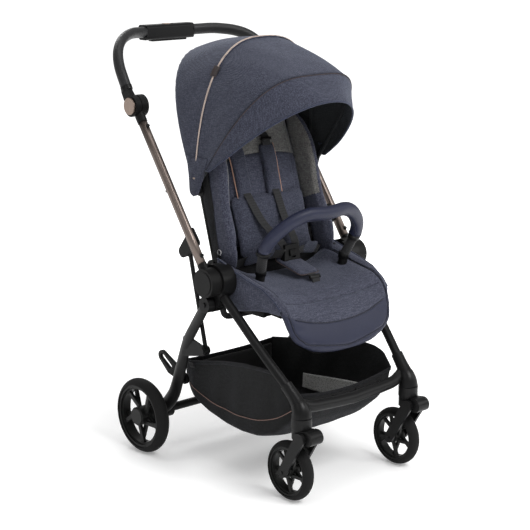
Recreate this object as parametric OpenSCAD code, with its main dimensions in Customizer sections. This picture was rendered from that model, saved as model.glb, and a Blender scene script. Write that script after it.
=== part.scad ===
// Folding baby stroller: chassis, folding push frame, reclining seat unit, fanning canopy.
// +Z is up, the child faces -Y, and "right" is the child's right hand, on -X.
// The origin is on the floor, midway between the foremost and rearmost points.

/* [Wheels] */
// Radius of a rear wheel
rear_wheel_r = 100; // [90:1:104]
// Radius of a front wheel
front_wheel_r = 75; // [65:1:78]
// Width of a rear tyre
rear_tyre_w = 42; // [30:1:42]
// Width of a front tyre
front_tyre_w = 38; // [24:1:40]
// Distance of a rear wheel's middle from the centre plane
rear_track = 251; // [250:1:262]
// Distance of a front wheel's middle from the centre plane
front_track = 186; // [184:1:188]

/* [Frame] */
// Height of the fold hubs above the floor
hub_z = 512; // [508:1:516]
// Radius of a fold hub's outer disc
hub_r = 36; // [32:1:36]
// Depth of a push tube's section, front to back
push_tube_d = 24; // [20:1:26]
// Width of a push tube's section, across the stroller
push_tube_w = 20; // [16:1:20]
// Diameter of a front leg tube
front_leg_d = 21; // [18:1:22]

/* [Handlebar] */
// Half the handlebar's width, at the middle of its tube
handle_half_w = 252; // [250:1:256]
// Thickness of the grip
grip_t = 31; // [26:1:32]

/* [Seat] */
// Half the width between the backrest frame's tubes
back_half_w = 170; // [168:1:171]
// Length of the backrest frame
back_len = 492; // [470:1:500]
// Backrest angle from the vertical
back_tilt = 16.2; // [16:0.1:17]
// Outer radius of the canopy from its pivots
canopy_r = 374; // [365:1:378]
// Half the canopy's width
canopy_half_w = 197; // [196:1:200]

/* [Hidden] */
$fn = 40;

gap = 0.4;               // running gap between pieces that turn on each other
small = 0.01;            // overlap that joins two shapes of one solid

// Side-view places, as [y, z]
hub = [-78, hub_z];                      // fold axis of the push frame
leg_pivot = [-68, 454];                  // axis of the rear legs
link_low = [-22, 320];                   // lower pivot of the fold link, on the rear leg
link_top = [38, 568];                    // upper pivot of the fold link, on the push tube
handle_pivot = [207, 918];               // axis of the handlebar joints
rear_axle_at = [197, rear_wheel_r];
front_axle_at = [-309, front_wheel_r];
caster_y = -347;                         // vertical swivel axis of the front wheels
recline_at = [-14, 532];                 // axis of the backrest
canopy_at = [38, 719];                   // axis of the canopy bows
legrest_at = [-256, 462];                // axis of the legrest
pedal_at = [112, 205];                   // axis of the brake pedal

// Planes across the stroller, as distances from the centre plane
hub_in = 194;            // inner face of a hub housing
hub_mid = 234;           // outer face of a hub housing
disc_in = 235;           // inner face of a fold hub disc
disc_out = 266;          // outer face of a fold hub disc
push_x = 246;            // middle of a push tube
link_x = 213;            // middle of a fold link

black = "#1d1e20";
dark = "#26272a";
bronze = "#7a675b";
rose_gold = "#c9a48f";
navy = "#2f3347";
grey = "#55534f";
silver = "#b8b8bc";

// ---------- helpers ----------

function unit(v) = v / norm(v);

// Points of a polyline whose corners are rounded over the length r with n steps each
function soft_path(p, r, n = 8) = [
    p[0],
    for (i = [1 : len(p) - 2])
        let (c = p[i],
             a = c + unit(p[i - 1] - c) * min(r, norm(p[i - 1] - c) * 0.49),
             b = c + unit(p[i + 1] - c) * min(r, norm(p[i + 1] - c) * 0.49))
        for (k = [0 : n]) let (t = k / n)
            a * (1 - t) * (1 - t) + c * 2 * t * (1 - t) + b * t * t,
    p[len(p) - 1]
];

// A path followed by its mirror image across the centre plane; it ends on that plane
function mirrored(p) = concat(p, [for (i = [len(p) - 2 : -1 : 0]) [-p[i].x, p[i].y, p[i].z]]);

// Closed tube along the points p: half sizes a along ref and b across it, scaled by grow at each end
module swept(p, a, b, ref, sides = 14) {
    n = len(p);
    ring = [for (i = [0 : n - 1])
        let (t = unit(p[min(i + 1, n - 1)] - p[max(i - 1, 0)]),
             u = unit(ref - t * (ref * t)),
             v = cross(t, u))
        for (k = [0 : sides - 1]) p[i] + u * a * cos(360 * k / sides) - v * b * sin(360 * k / sides)];
    skin = [for (i = [0 : n - 2], k = [0 : sides - 1])
        let (q = (k + 1) % sides) [i * sides + k, i * sides + q, (i + 1) * sides + q, (i + 1) * sides + k]];
    polyhedron(ring, concat(skin,
        [[for (k = [sides - 1 : -1 : 0]) k]],
        [[for (k = [0 : sides - 1]) (n - 1) * sides + k]]), convexity = 6);
}

// Closed tube along the points p whose half sizes vary: a[i] along ref and b[i] across it
module horn(p, a, b, ref, sides = 16) {
    n = len(p);
    ring = [for (i = [0 : n - 1])
        let (t = unit(p[min(i + 1, n - 1)] - p[max(i - 1, 0)]),
             u = unit(ref - t * (ref * t)),
             v = cross(t, u))
        for (k = [0 : sides - 1]) p[i] + u * a[i] * cos(360 * k / sides) - v * b[i] * sin(360 * k / sides)];
    skin = [for (i = [0 : n - 2], k = [0 : sides - 1])
        let (q = (k + 1) % sides) [i * sides + k, i * sides + q, (i + 1) * sides + q, (i + 1) * sides + k]];
    polyhedron(ring, concat(skin,
        [[for (k = [sides - 1 : -1 : 0]) k]],
        [[for (k = [0 : sides - 1]) (n - 1) * sides + k]]), convexity = 6);
}

// Value of the list v at a share t of the way along it, read on straight lines between its entries
function along(v, t) =
    let (i = min(floor(t * (len(v) - 1)), len(v) - 2), f = t * (len(v) - 1) - i)
    v[i] * (1 - f) + v[i + 1] * f;

// Draws its children on the right, or on the left when side is -1. Children are modelled on +X.
module on_side(side) { mirror([side > 0 ? 1 : 0, 0, 0]) children(); }
module both_sides() { for (s = [1, -1]) on_side(s) children(); }

// Cylinder along X from x0 to x1, centred on the side-view place at
module bar_x(at, r, x0, x1) {
    translate([x0, at.x, at.y]) rotate([90, 0, 90]) cylinder(r = r, h = x1 - x0);
}

// Side-view outline, drawn in [y, z], as a plate from x0 to x1
module plate(x0, x1) { translate([x0, 0, 0]) rotate([90, 0, 90]) linear_extrude(x1 - x0) children(); }

module at2(p) { translate([p.x, p.y]) children(); }

// Outline that wraps two circles
module strap2(p, rp, q, rq) { hull() { at2(p) circle(r = rp, $fn = 32); at2(q) circle(r = rq, $fn = 32); } }

// ---------- chassis ----------

front_leg_path = soft_path([
    [220.5, -86, 488], [219, -130, 452], [207, -236, 352], [192, -304, 286], [front_track, -330, 258]], 40, 5);
module front_leg() { color(dark) swept(front_leg_path, front_leg_d / 2 + 2, front_leg_d / 2, [1, 0, 0]); }

// Flared bend that carries the caster's swivel; its socket for the pin opens downwards
caster_top_z = 195;
swivel_pin_r = 6;
bend_path = soft_path([[193, -299, 291], [188, -325, 264], [front_track, -345, 240], [front_track, caster_y, 219]], 22, 4);
bend_n = len(bend_path);
bend_r = [for (i = [0 : bend_n - 1]) along([15, 16, 18.5, 22, 25], i / (bend_n - 1))];
module caster_housing() {
    color(dark) difference() {
        union() {
            translate([front_track, caster_y, caster_top_z]) cylinder(r = 25, h = 219 - caster_top_z + small);
            horn(bend_path, bend_r, bend_r, [1, 0, 0], 20);
        }
        translate([front_track, caster_y, caster_top_z - 1]) cylinder(r = swivel_pin_r + 0.1, h = 34.5);
        swept(front_leg_path, front_leg_d / 2 + 2, front_leg_d / 2, [1, 0, 0]);
    }
}

crossbar_path = mirrored(soft_path([
    [187, -322, 268], [172, -328, 246], [148, -332, 234], [93, -333, 230], [0, -333, 225]], 22, 5));
crossbar_n = len(crossbar_path);
crossbar_r = [for (i = [0 : crossbar_n - 1])
    along([8, 14, 14.5, 14.5, 14.5, 14.5, 14.5, 14, 8], i / (crossbar_n - 1))];
module front_crossbar() {
    color(black) difference() {
        horn(crossbar_path, crossbar_r, crossbar_r, [0, 0.25, 1], 16);
        both_sides() {
            swept(front_leg_path, front_leg_d / 2 + 2, front_leg_d / 2, [1, 0, 0]);
            horn(bend_path, bend_r, bend_r, [1, 0, 0], 20);
            translate([front_track, caster_y, caster_top_z]) cylinder(r = 25, h = 219 - caster_top_z + small);
        }
    }
}

seat_bar_path = mirrored(soft_path([[197, -68, 444], [190, -68, 412], [0, -68, 408]], 20, 6));
module seat_crossbar() { color(black) swept(seat_bar_path, 8, 8, [0, 1, 0], 12); }

tongue_w = 26;           // seat adapter's tongue, front to back
module hub_housing() {
    color(dark) difference() {
        union() {
            bar_x(hub, 43, hub_in, hub_mid);
            plate(hub_in + 12, hub_mid) strap2(hub, 30, leg_pivot, 21);
            plate(hub_in + 12, hub_mid) strap2(hub, 30, [-84, 464], 18);
            bar_x(leg_pivot, 9, hub_mid - small, 235.6);
            bar_x(hub, 14, hub_mid - small, 250);
        }
        // slot that the seat's adapter drops into from above
        translate([hub_in - 1, hub.x - tongue_w / 2 - gap, hub_z - 18]) cube([11 + 1, tongue_w + 2 * gap, 80]);
        bar_x(leg_pivot, 6.1, hub_mid - 20, 240);
        swept(front_leg_path, front_leg_d / 2 + 2, front_leg_d / 2, [1, 0, 0]);
        swept(seat_bar_path, 8, 8, [0, 1, 0], 12);
    }
}

// ---------- basket ----------

basket_w = 166;          // half width at the rim
basket_t = 3;            // wall
// Side-view outline of the basket: rim along the top, belly along the bottom
basket_rim = [[-300, 262], [-255, 300], [-130, 292], [0, 268], [104, 252]];
basket_belly = [[108, 150], [70, 130], [0, 112], [-80, 103], [-160, 106], [-240, 138], [-300, 206]];
module basket_outline(inset) { offset(delta = -inset) polygon(concat(basket_rim, basket_belly)); }
module basket() {
    color(black) difference() {
        plate(-basket_w, basket_w) basket_outline(0);
        plate(-basket_w + basket_t, basket_w - basket_t) union() {
            basket_outline(basket_t);
            translate([0, basket_t + 1]) intersection() {
                basket_outline(basket_t);
                translate([-400, 200]) square([800, 200]);
            }
            polygon([[-296, 262], [-252, 298], [-130, 289], [0, 265], [100, 250], [100, 330], [-296, 330]]);
        }
    }
}

// ---------- rear frame ----------

leg_head_in = 236;       // inner face of a rear leg's head
leg_head_out = 256;
rear_leg_path = soft_path([[247, -66, 452], [243, -44, 428], [222, 42, 333], [209, 81, 261],
    [194, 132, 165], [188, 166, 130], [190, 190, 108]], 30, 4);
rear_leg_n = len(rear_leg_path);
rear_leg_a = [for (i = [0 : rear_leg_n - 1]) along([8, 8.5, 9, 9, 9.5, 9.5, 9], i / (rear_leg_n - 1))];
rear_leg_b = [for (i = [0 : rear_leg_n - 1]) along([14, 15, 16, 18, 20, 20, 18], i / (rear_leg_n - 1))];
module rear_leg(pedal) {
    color(dark) difference() {
        union() {
            bar_x(leg_pivot, 20, leg_head_in, leg_head_out);
            horn(rear_leg_path, rear_leg_a, rear_leg_b, [1, 0, 0], 18);
            bar_x(rear_axle_at, 20, 183, 199);
            if (pedal) bar_x(pedal_at, 11, 181, 200);
            // web that reaches forward to the fold link
            plate(219.6, 226) hull() {
                at2(link_low) circle(r = 12.5, $fn = 32);
                at2([42, 334]) circle(r = 14, $fn = 32);
                at2([50, 300]) circle(r = 9, $fn = 32);
            }
            bar_x(link_low, 9, 226 - small, 229);
        }
        bar_x(link_low, 4.1, 200, 225);
        bar_x(rear_axle_at, 11, 150, 240);
    }
    color(silver) {
        bar_x(leg_pivot, 6, hub_mid - 18, leg_head_out + 3);
        if (pedal) bar_x(pedal_at, 5, 169, 200);
    }
}

module rear_axle() {
    color(black) {
        bar_x(rear_axle_at, 11, -228, 228);
        both_sides() bar_x(rear_axle_at, 6, 228 - small, rear_track + rear_tyre_w / 2 - 6);
    }
}

module brake_housings() {
    color(black) both_sides() difference() {
        union() {
            bar_x(rear_axle_at, 26, 202, 227);
            bar_x(rear_axle_at, 21, 160, 180);
        }
        bar_x(rear_axle_at, 11, 150, 240);
    }
}

// Looped foot pedal beside the right rear leg
pedal_tip = [204, 248];
module brake_pedal() {
    color(black) difference() {
        plate(-180.4, -171) difference() {
            hull() {
                at2(pedal_at) circle(r = 14, $fn = 32);
                at2([170, 223]) circle(r = 18, $fn = 32);
                at2(pedal_tip) circle(r = 15, $fn = 32);
            }
            strap2([168, 226], 6.5, pedal_tip - [2, 0], 7);
        }
        bar_x(pedal_at, 5.1, -200, -160);
    }
}

module fold_link() {
    dir = unit([0, link_top.x - link_low.x, link_top.y - link_low.y]);
    color(black) difference() {
        union() {
            swept([[link_x, link_low.x, link_low.y] + dir * 6, [link_x, link_top.x, link_top.y] - dir * 8],
                5, 6.5, [1, 0, 0], 16);
            bar_x(link_low, 11, link_x - 6, link_x + 6);
            bar_x(link_top, 15, link_x - 6, link_x + 7);
        }
    }
    color(silver) bar_x(link_low, 4, link_x, 224.5);
}

// ---------- push frame ----------

push_dir = unit([0, handle_pivot.x - hub.x, handle_pivot.y - hub.y]);
push_start = [push_x, hub.x, hub.y] + push_dir * 30;
push_end = [push_x, handle_pivot.x, handle_pivot.y] - push_dir * 34;
module push_tube() { color(bronze) swept([push_start, push_end], push_tube_w / 2, push_tube_d / 2, [1, 0, 0], 20); }

module fold_hub() {
    color(black) difference() {
        union() {
            bar_x(hub, hub_r, disc_in, disc_out);
            swept([[push_x, hub.x, hub.y] + push_dir * 24, [push_x, hub.x, hub.y] + push_dir * 50],
                push_tube_w / 2 + 0.9, push_tube_d / 2 + 2.5, [1, 0, 0], 20);
            // bracket behind the tube that the fold link's upper end locks against
            plate(231, 236.6) hull() {
                at2(link_top) circle(r = 15, $fn = 32);
                at2([hub.x, hub.y] + [push_dir.y, push_dir.z] * 108) circle(r = 10, $fn = 32);
                at2([hub.x, hub.y] + [push_dir.y, push_dir.z] * 140) circle(r = 8, $fn = 32);
            }
        }
        bar_x(hub, 14.1, disc_in - 10, 251);
        swept([push_start, push_end], push_tube_w / 2, push_tube_d / 2, [1, 0, 0], 20);
    }
    color(dark) bar_x(hub, hub_r - 7, disc_out - small, disc_out + 1.5);
}

boss_r = 28;
module handle_joint() {
    color(black) difference() {
        union() {
            bar_x(handle_pivot, boss_r, 225, 245.6);
            swept([push_end - push_dir * 14, push_end + push_dir * 10],
                push_tube_w / 2 + 2.2, push_tube_d / 2 + 2.5, [1, 0, 0], 20);
        }
        swept([push_start, push_end], push_tube_w / 2, push_tube_d / 2, [1, 0, 0], 20);
        bar_x(handle_pivot, 10.1, 232, 260);
        bar_x(handle_pivot, 28.4, 245.6, 280);
    }
}
module handle_joints() { both_sides() handle_joint(); }

module stud(along, out) {
    p = [push_x, hub.x, hub.y] + push_dir * along;
    n = [0, -push_dir.z, push_dir.y];
    translate(p + n * out * (push_tube_d / 2 - 1.5)) rotate([out > 0 ? 90 - 54.9 : -90 - 54.9, 0, 0])
        cylinder(r = 4.5, h = 6.5);
}
module tube_studs() {
    color(black) difference() {
        both_sides() { stud(430, 1); stud(262, -1); stud(66, 1); }
        both_sides() swept([push_start, push_end], push_tube_w / 2, push_tube_d / 2, [1, 0, 0], 20);
    }
}

// ---------- handlebar ----------

handle_path = mirrored(soft_path([
    [handle_half_w, 234, 956], [handle_half_w, 266, 1012], [handle_half_w - 12, 288, 1044], [218, 308, 1066],
    [186, 331, 1079], [138, 362, 1085], [84, 387, 1082], [0, 391, 1081]], 22, 4));
module handlebar() {
    color(black) difference() {
        swept(handle_path, grip_t / 2, 12.5, [0, -0.64, 0.77], 18);
        translate([-80, 350, 1040]) cube([160, 90, 90]);
    }
}

console_at = [391, 1081];
module handle_console() {
    color(dark) difference() {
        plate(-80, 80) translate([console_at.x + 1, console_at.y])
            hull() for (y = [-11, 11], z = [-12, 12]) translate([y, z]) circle(r = 8, $fn = 32);
        translate([-60, console_at.x - 13, console_at.y - 30]) cube([120, 20, 22]);
        translate([-22, console_at.x - 9, console_at.y + 13.3]) cube([44, 14, 20]);
    }
}

module fold_trigger() {
    color(black) translate([-58, console_at.x - 12, console_at.y - 24]) cube([116, 18, 11]);
}

module safety_slider() {
    color(grey) translate([-14, console_at.x - 8, console_at.y + 13.3 + gap]) cube([20, 12, 8]);
}

// Lower end of the handlebar: a boss on the joint and a tongue up into the grip
module handle_end() {
    up = unit([0, 234 - handle_pivot.x, 956 - handle_pivot.y]);
    color(black) difference() {
        union() {
            bar_x(handle_pivot, 27, 246.4, 263);
            hull() {
                bar_x(handle_pivot + [up.y, up.z] * 22, 15, 246.4, 263);
                bar_x([234, 956] - [up.y, up.z] * 2, 12.5, 246.4, 263);
            }
            bar_x(handle_pivot, 10, 234, 250);
        }
        bar_x(handle_pivot, 22, 260, 270);
        swept(handle_path, grip_t / 2, 12.5, [0, -0.64, 0.77], 18);
    }
}
module handle_ends() { both_sides() handle_end(); }

module handle_button() { color(rose_gold) bar_x(handle_pivot, 21.5, 260 + 4.5, 268); }

// ---------- seat ----------

module seat_pan() {
    color(black) difference() {
        plate(-166, 166) polygon([[-30, 466], [-250, 452], [-250, 440], [-30, 454]]);
        for (s = [-1, 1]) bar_x(legrest_at, 12, s > 0 ? 140 : -180, s > 0 ? 180 : -140);
        translate([-30, -215, 430]) cube([60, 12, 40]);
    }
}

socket_top = [142, -150, 528];
socket_dir = unit([0, -18, 96]);          // the bumper's legs lean forward
socket_lean = atan2(18, 96);
module seat_bracket() {
    color(black) difference() {
        union() {
            plate(180, 191) union() {
                strap2([-34, 526], 20, [-150, 500], 16);
                strap2([-20, 532], 18, [-70, 530], 18);
            }
            // front strap, set further in, down to the legrest's hinge
            plate(168, 191) strap2([-136, 503], 14, [-150, 500], 14);
            plate(168, 178) strap2([-150, 500], 14, legrest_at, 10);
            // tongue that drops into the hub housing
            translate([190, hub.x - tongue_w / 2, hub_z - 17]) cube([hub_in + 10 - 190, tongue_w, 34]);
            bar_x(legrest_at, 5, 150, 178);
            // ledge under the seat pan
            plate(150, 180 + small) polygon([[-60, 450], [-200, 441.5], [-200, 436], [-60, 436]]);
            plate(172, 181) polygon([[-50, 436], [-50, 500], [-205, 480], [-205, 436]]);
            // socket of the bumper bar
            translate(socket_top) rotate([socket_lean, 0, 0]) translate([0, 0, -34]) cylinder(r = 12, h = 34);
            translate([142, -167, 484]) cube([40, 30, 20]);
        }
        translate(socket_top) rotate([socket_lean, 0, 0]) translate([0, 0, -26]) cylinder(r = 7.1, h = 60);
        bar_x(recline_at, 7.1, 170, 200);
        translate([182, -52, 540]) cube([20, 24, 40]);
    }
}

module seat_cushion() {
    color(navy) difference() {
        plate(-146, 146) polygon([[-46, 470], [-46, 500], [-158, 497], [-225, 487], [-246, 472], [-246, 456], [-158, 460]]);
        translate([-26, -216, 440]) cube([52, 12, 80]);
        // cut-outs that clear the bumper bar's sockets
        for (s = [-1, 1]) translate([s * 146 - 22, -176, 440]) cube([44, 50, 80]);
    }
}

module crotch_strap() {
    color(navy) union() {
        translate([-24, -213, 452]) cube([48, 6, 60]);
        hull() {
            translate([-24, -213, 506]) cube([48, 8, 6]);
            translate([-30, -122, 536]) cube([60, 8, 10]);
        }
    }
}

module harness_buckle() {
    color(black) difference() {
        hull() {
            translate([-27, -112, 536]) cube([54, 16, 10]);
            translate([-22, -108, 566]) cube([44, 14, 10]);
        }
        translate([-11, -130, 546]) rotate([-12, 0, 0]) cube([22, 25, 22]);
    }
}

module buckle_button() { color(rose_gold) translate([-10, -116, 548.5]) rotate([-12, 0, 0]) cube([20, 6, 15.5]); }

module seat_lever() { color(navy) hull() {
    translate([184, -48, 544]) cube([7, 16, 4]);
    translate([184, -34, 574]) cube([7, 12, 3]);
} }

// ---------- backrest: modelled upright in its own frame, then tilted about the recline axis ----------

// Local frame: x across, -y forward from the frame's plane, z along the frame from the recline axis
module in_backrest() {
    translate([0, recline_at.x, recline_at.y]) rotate([-back_tilt, 0, 0]) children();
}

back_tube_r = 8;
back_tube_path = mirrored(soft_path([
    [back_half_w, 0, -1], [back_half_w, 0, 270], [back_half_w - 24, 0, back_len], [0, 0, back_len + 6]], 90, 8));
module backrest_frame() {
    color(black) in_backrest() {
        swept(back_tube_path, back_tube_r, back_tube_r, [0, 1, 0], 14);
        both_sides() {
            bar_x([0, 0], 15, 163, 179.4);
            bar_x([0, 0], 7, 178, 190);
        }
    }
}

module back_shell() {
    color(black) in_backrest() difference() {
        translate([0, -9.5, 0]) rotate([90, 0, 0]) linear_extrude(5) hull() {
            translate([-158, 24]) square([316, 20]);
            for (s = [-1, 1]) translate([s * 86, back_len - 78]) circle(r = 58, $fn = 32);
        }
    }
}

module back_cushion() {
    color(navy) in_backrest() {
        translate([0, -15, 0]) rotate([90, 0, 0]) linear_extrude(30) hull() {
            translate([-150, 30]) square([300, 20]);
            for (s = [-1, 1]) translate([s * 84, back_len - 84]) circle(r = 56, $fn = 32);
        }
        both_sides() plate(150 - small, 166) polygon([[-15, 60], [-15, 350], [-44, 345], [-98, 270], [-98, 150], [-78, 80]]);
    }
}

module shoulder_harness() {
    color(navy) in_backrest() both_sides() {
        translate([24, -57, 178]) cube([46, 11, 150]);
        translate([34, -53, 90]) cube([26, 4, 90]);
    }
}

// ---------- canopy: three shells that nest when it folds back ----------

// Half profile of a shell as [radius, x], from the side to the top: a superellipse
function shell_edge(r, w, n = 2.75, steps = 22) = [for (i = [0 : steps])
    let (a = 90 * i / steps) [r * pow(sin(a), 2 / n), w * pow(cos(a), 2 / n)]];

module shell_profile(r, w, t, hole) {
    outer = shell_edge(r, w);
    inner = shell_edge(r - t, w - t);
    intersection() {
        polygon(concat(
            outer, [for (i = [len(outer) - 2 : -1 : 0]) [outer[i].x, -outer[i].y]],
            [for (i = [0 : len(inner) - 1]) [inner[i].x, -inner[i].y]],
            [for (i = [len(inner) - 2 : -1 : 0]) inner[i]]));
        translate([hole, -300]) square([600, 600]);
    }
}

// Shell between the angles from and to, measured about the canopy axis up from +Y
module canopy_shell(r, w, from, to, hole = 13) {
    translate([0, canopy_at.x, canopy_at.y]) rotate([from, 0, 0]) rotate([0, 90, 0]) rotate([0, 0, 90])
        rotate_extrude(angle = to - from, $fn = 96) shell_profile(r, w, 2.4, hole);
}

rear_from = 64;
rear_to = 97;
middle_to = 128;
front_to = 141;
module canopy_rear() { color(navy) canopy_shell(canopy_r - 12, canopy_half_w - 10, rear_from, rear_to); }
module canopy_middle() { color(navy) canopy_shell(canopy_r - 6, canopy_half_w - 5, rear_to - 3, middle_to); }
module canopy_front() {
    color(navy) difference() {
        canopy_shell(canopy_r, canopy_half_w, middle_to - 3, front_to);
        // the visor's edge sweeps back towards the sides
        translate([0, canopy_at.x, canopy_at.y]) rotate([front_to - 13, 0, 0])
            translate([-300, -60, 0]) rotate([0, 0, 0]) cube([600, 165, 1]);
    }
}

module canopy_mounts() {
    color(black) both_sides() difference() {
        union() {
            bar_x(canopy_at, 17, 172.6, 180);
            bar_x(canopy_at, 11, 180 - small, 199);
        }
        in_backrest() translate([back_half_w, 0, 0]) cylinder(r = back_tube_r, h = 400);
    }
}

// ---------- legrest and bumper bar ----------

// Local frame of the legrest: z runs down its length from the hinge, -y is its front
legrest_len = 128;
legrest_tilt = 21;
module in_legrest() { translate([0, legrest_at.x, legrest_at.y]) rotate([180 - legrest_tilt, 0, 0]) mirror([0, 1, 0]) children(); }
module legrest_outline(half_w, start, end, r) {
    hull() {
        translate([-half_w, start]) square([2 * half_w, 10]);
        for (s = [-1, 1]) translate([s * (half_w - r - 8), end - r]) circle(r = r, $fn = 32);
    }
}
module legrest_board() {
    color(black) in_legrest() {
        translate([0, 3, 0]) rotate([90, 0, 0]) linear_extrude(8) legrest_outline(138, 16, legrest_len - 6, 50);
        both_sides() {
            difference() {
                union() {
                    bar_x([0, 0], 9, 144, 164);
                    translate([126, -5, 0]) cube([26, 8, 30]);
                }
                bar_x([0, 0], 5.1, 120, 170);
            }
        }
    }
}
module legrest_pad() {
    color(navy) in_legrest()
        translate([0, -5.4, 0]) rotate([90, 0, 0]) linear_extrude(20) legrest_outline(150, 14, legrest_len, 62);
}

bumper_path = mirrored(soft_path([
    socket_top + socket_dir * 6, [164, -188, 616], [81, -232, 683], [0, -240, 675]], 55, 7));
module bumper_bar() {
    color(navy) swept(bumper_path, 17, 14, [0, -0.5, 1], 16);
    color(black) both_sides() translate(socket_top) rotate([socket_lean, 0, 0]) {
            translate([0, 0, -24]) cylinder(r = 7, h = 34);
            translate([0, 0, gap]) cylinder(r = 12, h = 14);
        }
}

// ---------- casters and wheels ----------

fork_gap = front_tyre_w / 2 + 4;
module caster_fork() {
    arm = [caster_y + 2, 172];
    color(dark) difference() {
        union() {
            translate([front_track, caster_y, 168]) cylinder(r = 24, h = caster_top_z - 168 - gap);
            translate([front_track, caster_y, 180]) cylinder(r = swivel_pin_r, h = 48);
            // nose with the suspension's pivot
            plate(front_track - 19, front_track + 19) strap2([-386, 178], 18, [caster_y, 176], 14);
            for (s = [-1, 1]) translate([front_track + s * (fork_gap + 3.5), 0, 0]) plate(-3.5, 3.5) union() {
                strap2([-368, 174], 16, [-352, 148], 15);
                strap2([-352, 148], 15, front_axle_at, 13);
            }
            plate(front_track - fork_gap - 4, front_track + fork_gap + 4) strap2([-370, 176], 13, [-352, 178], 9);
        }
        bar_x(front_axle_at, front_wheel_r + 7, front_track - fork_gap, front_track + fork_gap);
    }
    color(silver) bar_x(front_axle_at, 4, front_track - fork_gap - 9, front_track + fork_gap + 9);
}

// Spoked rim about the X axis at the origin: hub, five crossing spoke pairs and a stepped ring
module rim(r, w, hub_r, bore, ring_t, spoke_w) {
    rotate([0, 90, 0]) difference() {
        union() {
            translate([0, 0, -w / 2]) difference() {
                cylinder(r = r, h = w, $fn = 64);
                translate([0, 0, -1]) cylinder(r = r - ring_t * 0.55, h = w + 2, $fn = 64);
            }
            translate([0, 0, -w * 0.34]) difference() {
                cylinder(r = r - small, h = w * 0.68, $fn = 64);
                translate([0, 0, -1]) cylinder(r = r - ring_t, h = w + 2, $fn = 64);
            }
            translate([0, 0, -w / 2 - 2]) cylinder(r = hub_r, h = w + 4);
            for (i = [0 : 4], lean = [-1, 1]) rotate([0, 0, 72 * i + lean * 20])
                translate([0, -lean * hub_r * 0.62 - spoke_w / 2, lean * w * 0.15 - w * 0.12])
                    cube([sqrt(r * r - pow(hub_r * 0.62 + spoke_w / 2, 2)) - ring_t * 0.7, spoke_w, w * 0.24]);
        }
        translate([0, 0, -w]) cylinder(r = bore, h = 2 * w);
    }
}

// Tyre about the X axis at the origin, with a rounded tread
module tyre(r, w, seat_r) {
    rotate([0, 90, 0]) rotate_extrude($fn = 72) intersection() {
        translate([seat_r, -w / 2]) square([r - seat_r, w]);
        translate([r - w * 0.55, 0]) scale([1, 0.92]) circle(r = w * 0.55, $fn = 40);
    }
}

module front_rim(s) {
    color(dark) translate([-s * front_track, front_axle_at.x, front_axle_at.y]) rim(front_wheel_r - 13, front_tyre_w - 8, 16, 4.1, 9, 8);
}
module front_tyre(s) {
    color(black) translate([-s * front_track, front_axle_at.x, front_axle_at.y]) tyre(front_wheel_r, front_tyre_w, front_wheel_r - 13);
}
module rear_rim(s) {
    color(dark) translate([-s * rear_track, rear_axle_at.x, rear_axle_at.y]) {
        rim(rear_wheel_r - 16, rear_tyre_w - 8, 25, 6.1, 12, 10);
        translate([-s * (rear_tyre_w / 2 - 3), 0, 0]) rotate([0, -s * 90, 0]) cylinder(r1 = 24, r2 = 22, h = 5);
    }
}
module rear_tyre(s) {
    color(black) translate([-s * rear_track, rear_axle_at.x, rear_axle_at.y]) tyre(rear_wheel_r, rear_tyre_w, rear_wheel_r - 16);
}

// ---------- nodes ----------

on_side(1) front_leg();  // front_leg_right
on_side(-1) front_leg();  // front_leg_left
front_crossbar();
seat_crossbar();
on_side(1) hub_housing();  // hub_housing_right
on_side(-1) hub_housing();  // hub_housing_left
on_side(1) caster_housing();  // caster_housing_right
on_side(-1) caster_housing();  // caster_housing_left
basket();
on_side(1) rear_leg(true);  // rear_leg_right
on_side(-1) rear_leg(false);  // rear_leg_left
rear_axle();
brake_housings();
brake_pedal();
on_side(1) fold_link();  // fold_link_right
on_side(-1) fold_link();  // fold_link_left
on_side(1) push_tube();  // push_tube_right
on_side(-1) push_tube();  // push_tube_left
on_side(1) fold_hub();  // fold_hub_right
on_side(-1) fold_hub();  // fold_hub_left
handle_joints();
tube_studs();
handlebar();
handle_console();
handle_ends();
fold_trigger();
safety_slider();
on_side(1) handle_button();  // handle_button_right
on_side(-1) handle_button();  // handle_button_left
seat_pan();
on_side(1) seat_bracket();  // seat_bracket_right
on_side(-1) seat_bracket();  // seat_bracket_left
seat_cushion();
crotch_strap();
harness_buckle();
buckle_button();
on_side(1) seat_lever();  // seat_lever_right
on_side(-1) seat_lever();  // seat_lever_left
backrest_frame();
back_shell();
back_cushion();
shoulder_harness();
canopy_mounts();
canopy_rear();
canopy_middle();
canopy_front();
legrest_board();
legrest_pad();
bumper_bar();
on_side(1) caster_fork();  // caster_fork_right
on_side(-1) caster_fork();  // caster_fork_left
front_rim(1);  // front_rim_right
front_rim(-1);  // front_rim_left
front_tyre(1);  // front_tyre_right
front_tyre(-1);  // front_tyre_left
rear_rim(1);  // rear_rim_right
rear_rim(-1);  // rear_rim_left
rear_tyre(1);  // rear_tyre_right
rear_tyre(-1);  // rear_tyre_left
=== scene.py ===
import math
import bpy
import numpy as np
from mathutils import Matrix, Vector
from mathutils.bvhtree import BVHTree


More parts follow.
